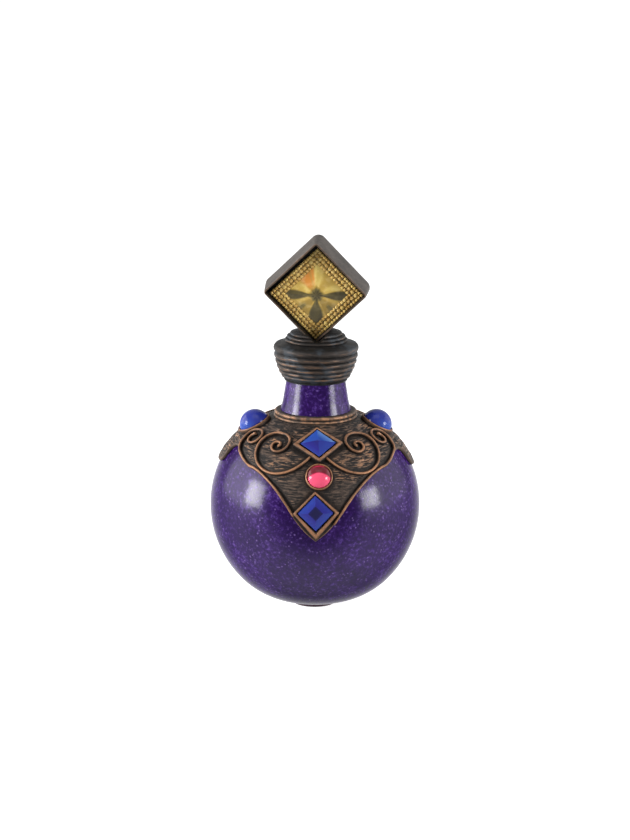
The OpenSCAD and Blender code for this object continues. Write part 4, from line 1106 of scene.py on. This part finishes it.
# Points along the cords and rims, beside which the collar is pressed in and smooth, and takes painted shade
near = []
for number, (name, route, lean, sides) in enumerate((
    ("rim_cord_front_right", long_rim, POINT_LEAN, (1, 1)), ("rim_cord_front_left", front_rim, -POINT_LEAN, (-1, 1)),
    ("rim_cord_back_right", back_rim, 0, (1, -1)), ("rim_cord_back_left", back_rim, 0, (-1, -1)),
    ("scroll_front_right", front_scroll, 0, (1, 1)), ("scroll_front_left", front_scroll, 0, (-1, 1)),
    ("scroll_back_right", back_scroll, 0, (1, -1)), ("scroll_back_left", back_scroll, 0, (-1, -1)),
), 1):
    near += list(make_cord(name, route, lean, sides, 10 * number)[::6])
# Painted light and shade of the square stones, as tones: bevel, and low and high ends of the four slopes and of the
# table's four parts
UPPER_PAINTED_LIGHT = {
    "rim": 0.5, "facets": [(0.66, 0.6), (0.44, 0.22), (0.5, 0.42), (0.88, 0.6)],
    "table": [(0.6, 0.52), (0.3, 0.2), (0.4, 0.36), (0.62, 0.56)],
}
LOWER_PAINTED_LIGHT = {"rim": 0.45, "facets": [(0.5, 0.4), (0.44, 0.34), (0.5, 0.42), (0.42, 0.34)], "table": [(0.1, 0.02)] * 4}
SQUARE_STONES = (
    ("upper", (UPPER_GEM_TURN, UPPER_GEM_AT, UPPER_GEM_ROLL), UPPER_LOOK, 3, PEAK_SIDE, UPPER_PAINTED_LIGHT),
    ("lower", (LOWER_GEM_TURN, LOWER_GEM_AT, LOWER_GEM_ROLL), LOWER_LOOK, 9, TABLE_SIDE, LOWER_PAINTED_LIGHT),
)


def round_painted_light(v):
    """Painted light and shade on the red stone: bright below a curved line across it, painted shade above it, and
    bright again at the top edge as a painted highlight.
    """
    x, y = v[:, 0], v[:, 1]
    line = ramp(0.22 * ROUND_GEM_R - y - 0.1 * x**2, -0.35, 0.45)
    return 0.08 + 0.8 * line + 0.45 * ramp(y / ROUND_GEM_R, 0.72, 0.98)


def side_painted_light(v):
    # painted light: the blue side stones grow lighter towards the rim on their lower side
    return 0.42 + 0.18 * ramp(np.hypot(v[:, 0], v[:, 1]) / SIDE_GEM_R, 0.6, 1.0) * ramp(-v[:, 1], -1, 3)


ROUND_STONES = (
    ("round", ROUND_GEM_TURN, ROUND_GEM_AT, ROUND_GEM_R, ROUND_GEM_H, RED, "red_stone", round_painted_light),
    ("side_left", -SIDE_GEM_TURN, SIDE_GEM_AT, SIDE_GEM_R, SIDE_GEM_H, BLUE, "blue_stone", side_painted_light),
    ("side_right", SIDE_GEM_TURN, SIDE_GEM_AT, SIDE_GEM_R, SIDE_GEM_H, BLUE, "blue_stone", side_painted_light),
)
for which, place, look, seed, _, _ in SQUARE_STONES:
    near += list(make_square_bezel("bezel_" + which, *place, look, seed))
for which, t, a, r, _, material, _, _ in ROUND_STONES:
    near += list(make_round_bezel("bezel_" + which, t, a, r, material is BLUE))
make_collar([Vector(q) for q in near])
for which, place, _, _, table, tones in SQUARE_STONES:
    make_square_gem("gem_" + which, *place, table, tones)
for which, t, a, r, h, material, slot, tone in ROUND_STONES:
    make_dome("gem_" + which, t, a, r, h, material, tone)
make_cap()
make_cork()
make_setting()
make_jewel()

# ---------------------------------------------------------------- floor, lights, camera
# Light that the plain white world gives to the object; the rays that see the background find it white
AMBIENT = 0.08
floor_mesh = bpy.data.meshes.new("floor")
floor_mesh.from_pydata([(-9, -6, 0), (9, -6, 0), (9, 12, 0), (-9, 12, 0)], [], [(0, 1, 2, 3)])
floor = bpy.data.objects.new("floor", floor_mesh)
bpy.context.scene.collection.objects.link(floor)
fm = new_material("floor", Roughness=1.0, Base_Color=(0.6, 0.6, 0.6, 1), Specular_IOR_Level=0)
# near the object the lamps add the rest of the white, so that its shadow stays
away = fm.new("ShaderNodeVectorMath", {0: fm.coords()}, operation="LENGTH").outputs["Value"]
glow = fm.new("ShaderNodeEmission", {"Strength": fm.times(fm.shown(), fm.step(away, 0.3, 1.2, (0.9, 1)))})
both = fm.new("ShaderNodeAddShader", {0: fm.main.outputs[0], 1: glow.outputs[0]})
fm.link(both.outputs[0], fm.tree.nodes["Material Output"].inputs["Surface"])
floor_mesh.materials.append(fm.owner)

world = bpy.data.worlds.new("studio")
bpy.context.scene.world = world
sky = Nodes(world, "Background", Color=(1, 1, 1, 1))
sky.put("Strength", sky.step(sky.shown(), 0, 1, (AMBIENT, 1)))


def area(name, at, target, w, h, power):
    data = bpy.data.lights.new(name, "AREA")
    data.shape, data.size, data.size_y, data.energy = "RECTANGLE", w, h, power
    ob = bpy.data.objects.new(name, data)
    bpy.context.scene.collection.objects.link(ob)
    ob.location = at
    ob.rotation_euler = (Vector(target) - Vector(at)).to_track_quat("-Z", "Y").to_euler()


# The soft windows make the highlights, and the walls light the sides
area("soft_left", (-0.95, -0.30, 0.27), (0, 0, 0.06), 0.38, 0.38, 12)
area("soft_right", (0.89, -0.49, 0.26), (0, 0, 0.06), 0.38, 0.3, 9.5)
area("soft_top", (0.0, -0.35, 1.25), (0, 0, 0.07), 0.9, 0.7, 3)
area("wall_left", (-1.6, 0.3, 0.45), (0, 0, 0.06), 1.7, 1.5, 34)
area("wall_right", (1.6, 0.3, 0.45), (0, 0, 0.06), 1.7, 1.5, 14)

# The photograph's focal length in pixels, its height in pixels, and the sensor's size in millimetres
FOCAL_PX, TALL_PX, SENSOR = 2468, 840, 36
cam_data = bpy.data.cameras.new("camera")
cam = bpy.data.objects.new("camera", cam_data)
bpy.context.scene.collection.objects.link(cam)
cam.location = (-0.02886, -0.91154, 0.2878)
turn = Euler((rad(76.67), 0, rad(-1.8))).to_matrix() @ Matrix.Rotation(rad(0.4), 3, "Z")
cam.rotation_euler = turn.to_euler()
cam_data.sensor_fit = "AUTO"
cam_data.sensor_width = SENSOR
cam_data.lens = FOCAL_PX / TALL_PX * SENSOR
cam_data.clip_start, cam_data.clip_end = 0.01, 60
bpy.context.scene.camera = cam
bpy.context.scene.view_settings.view_transform = "Standard"
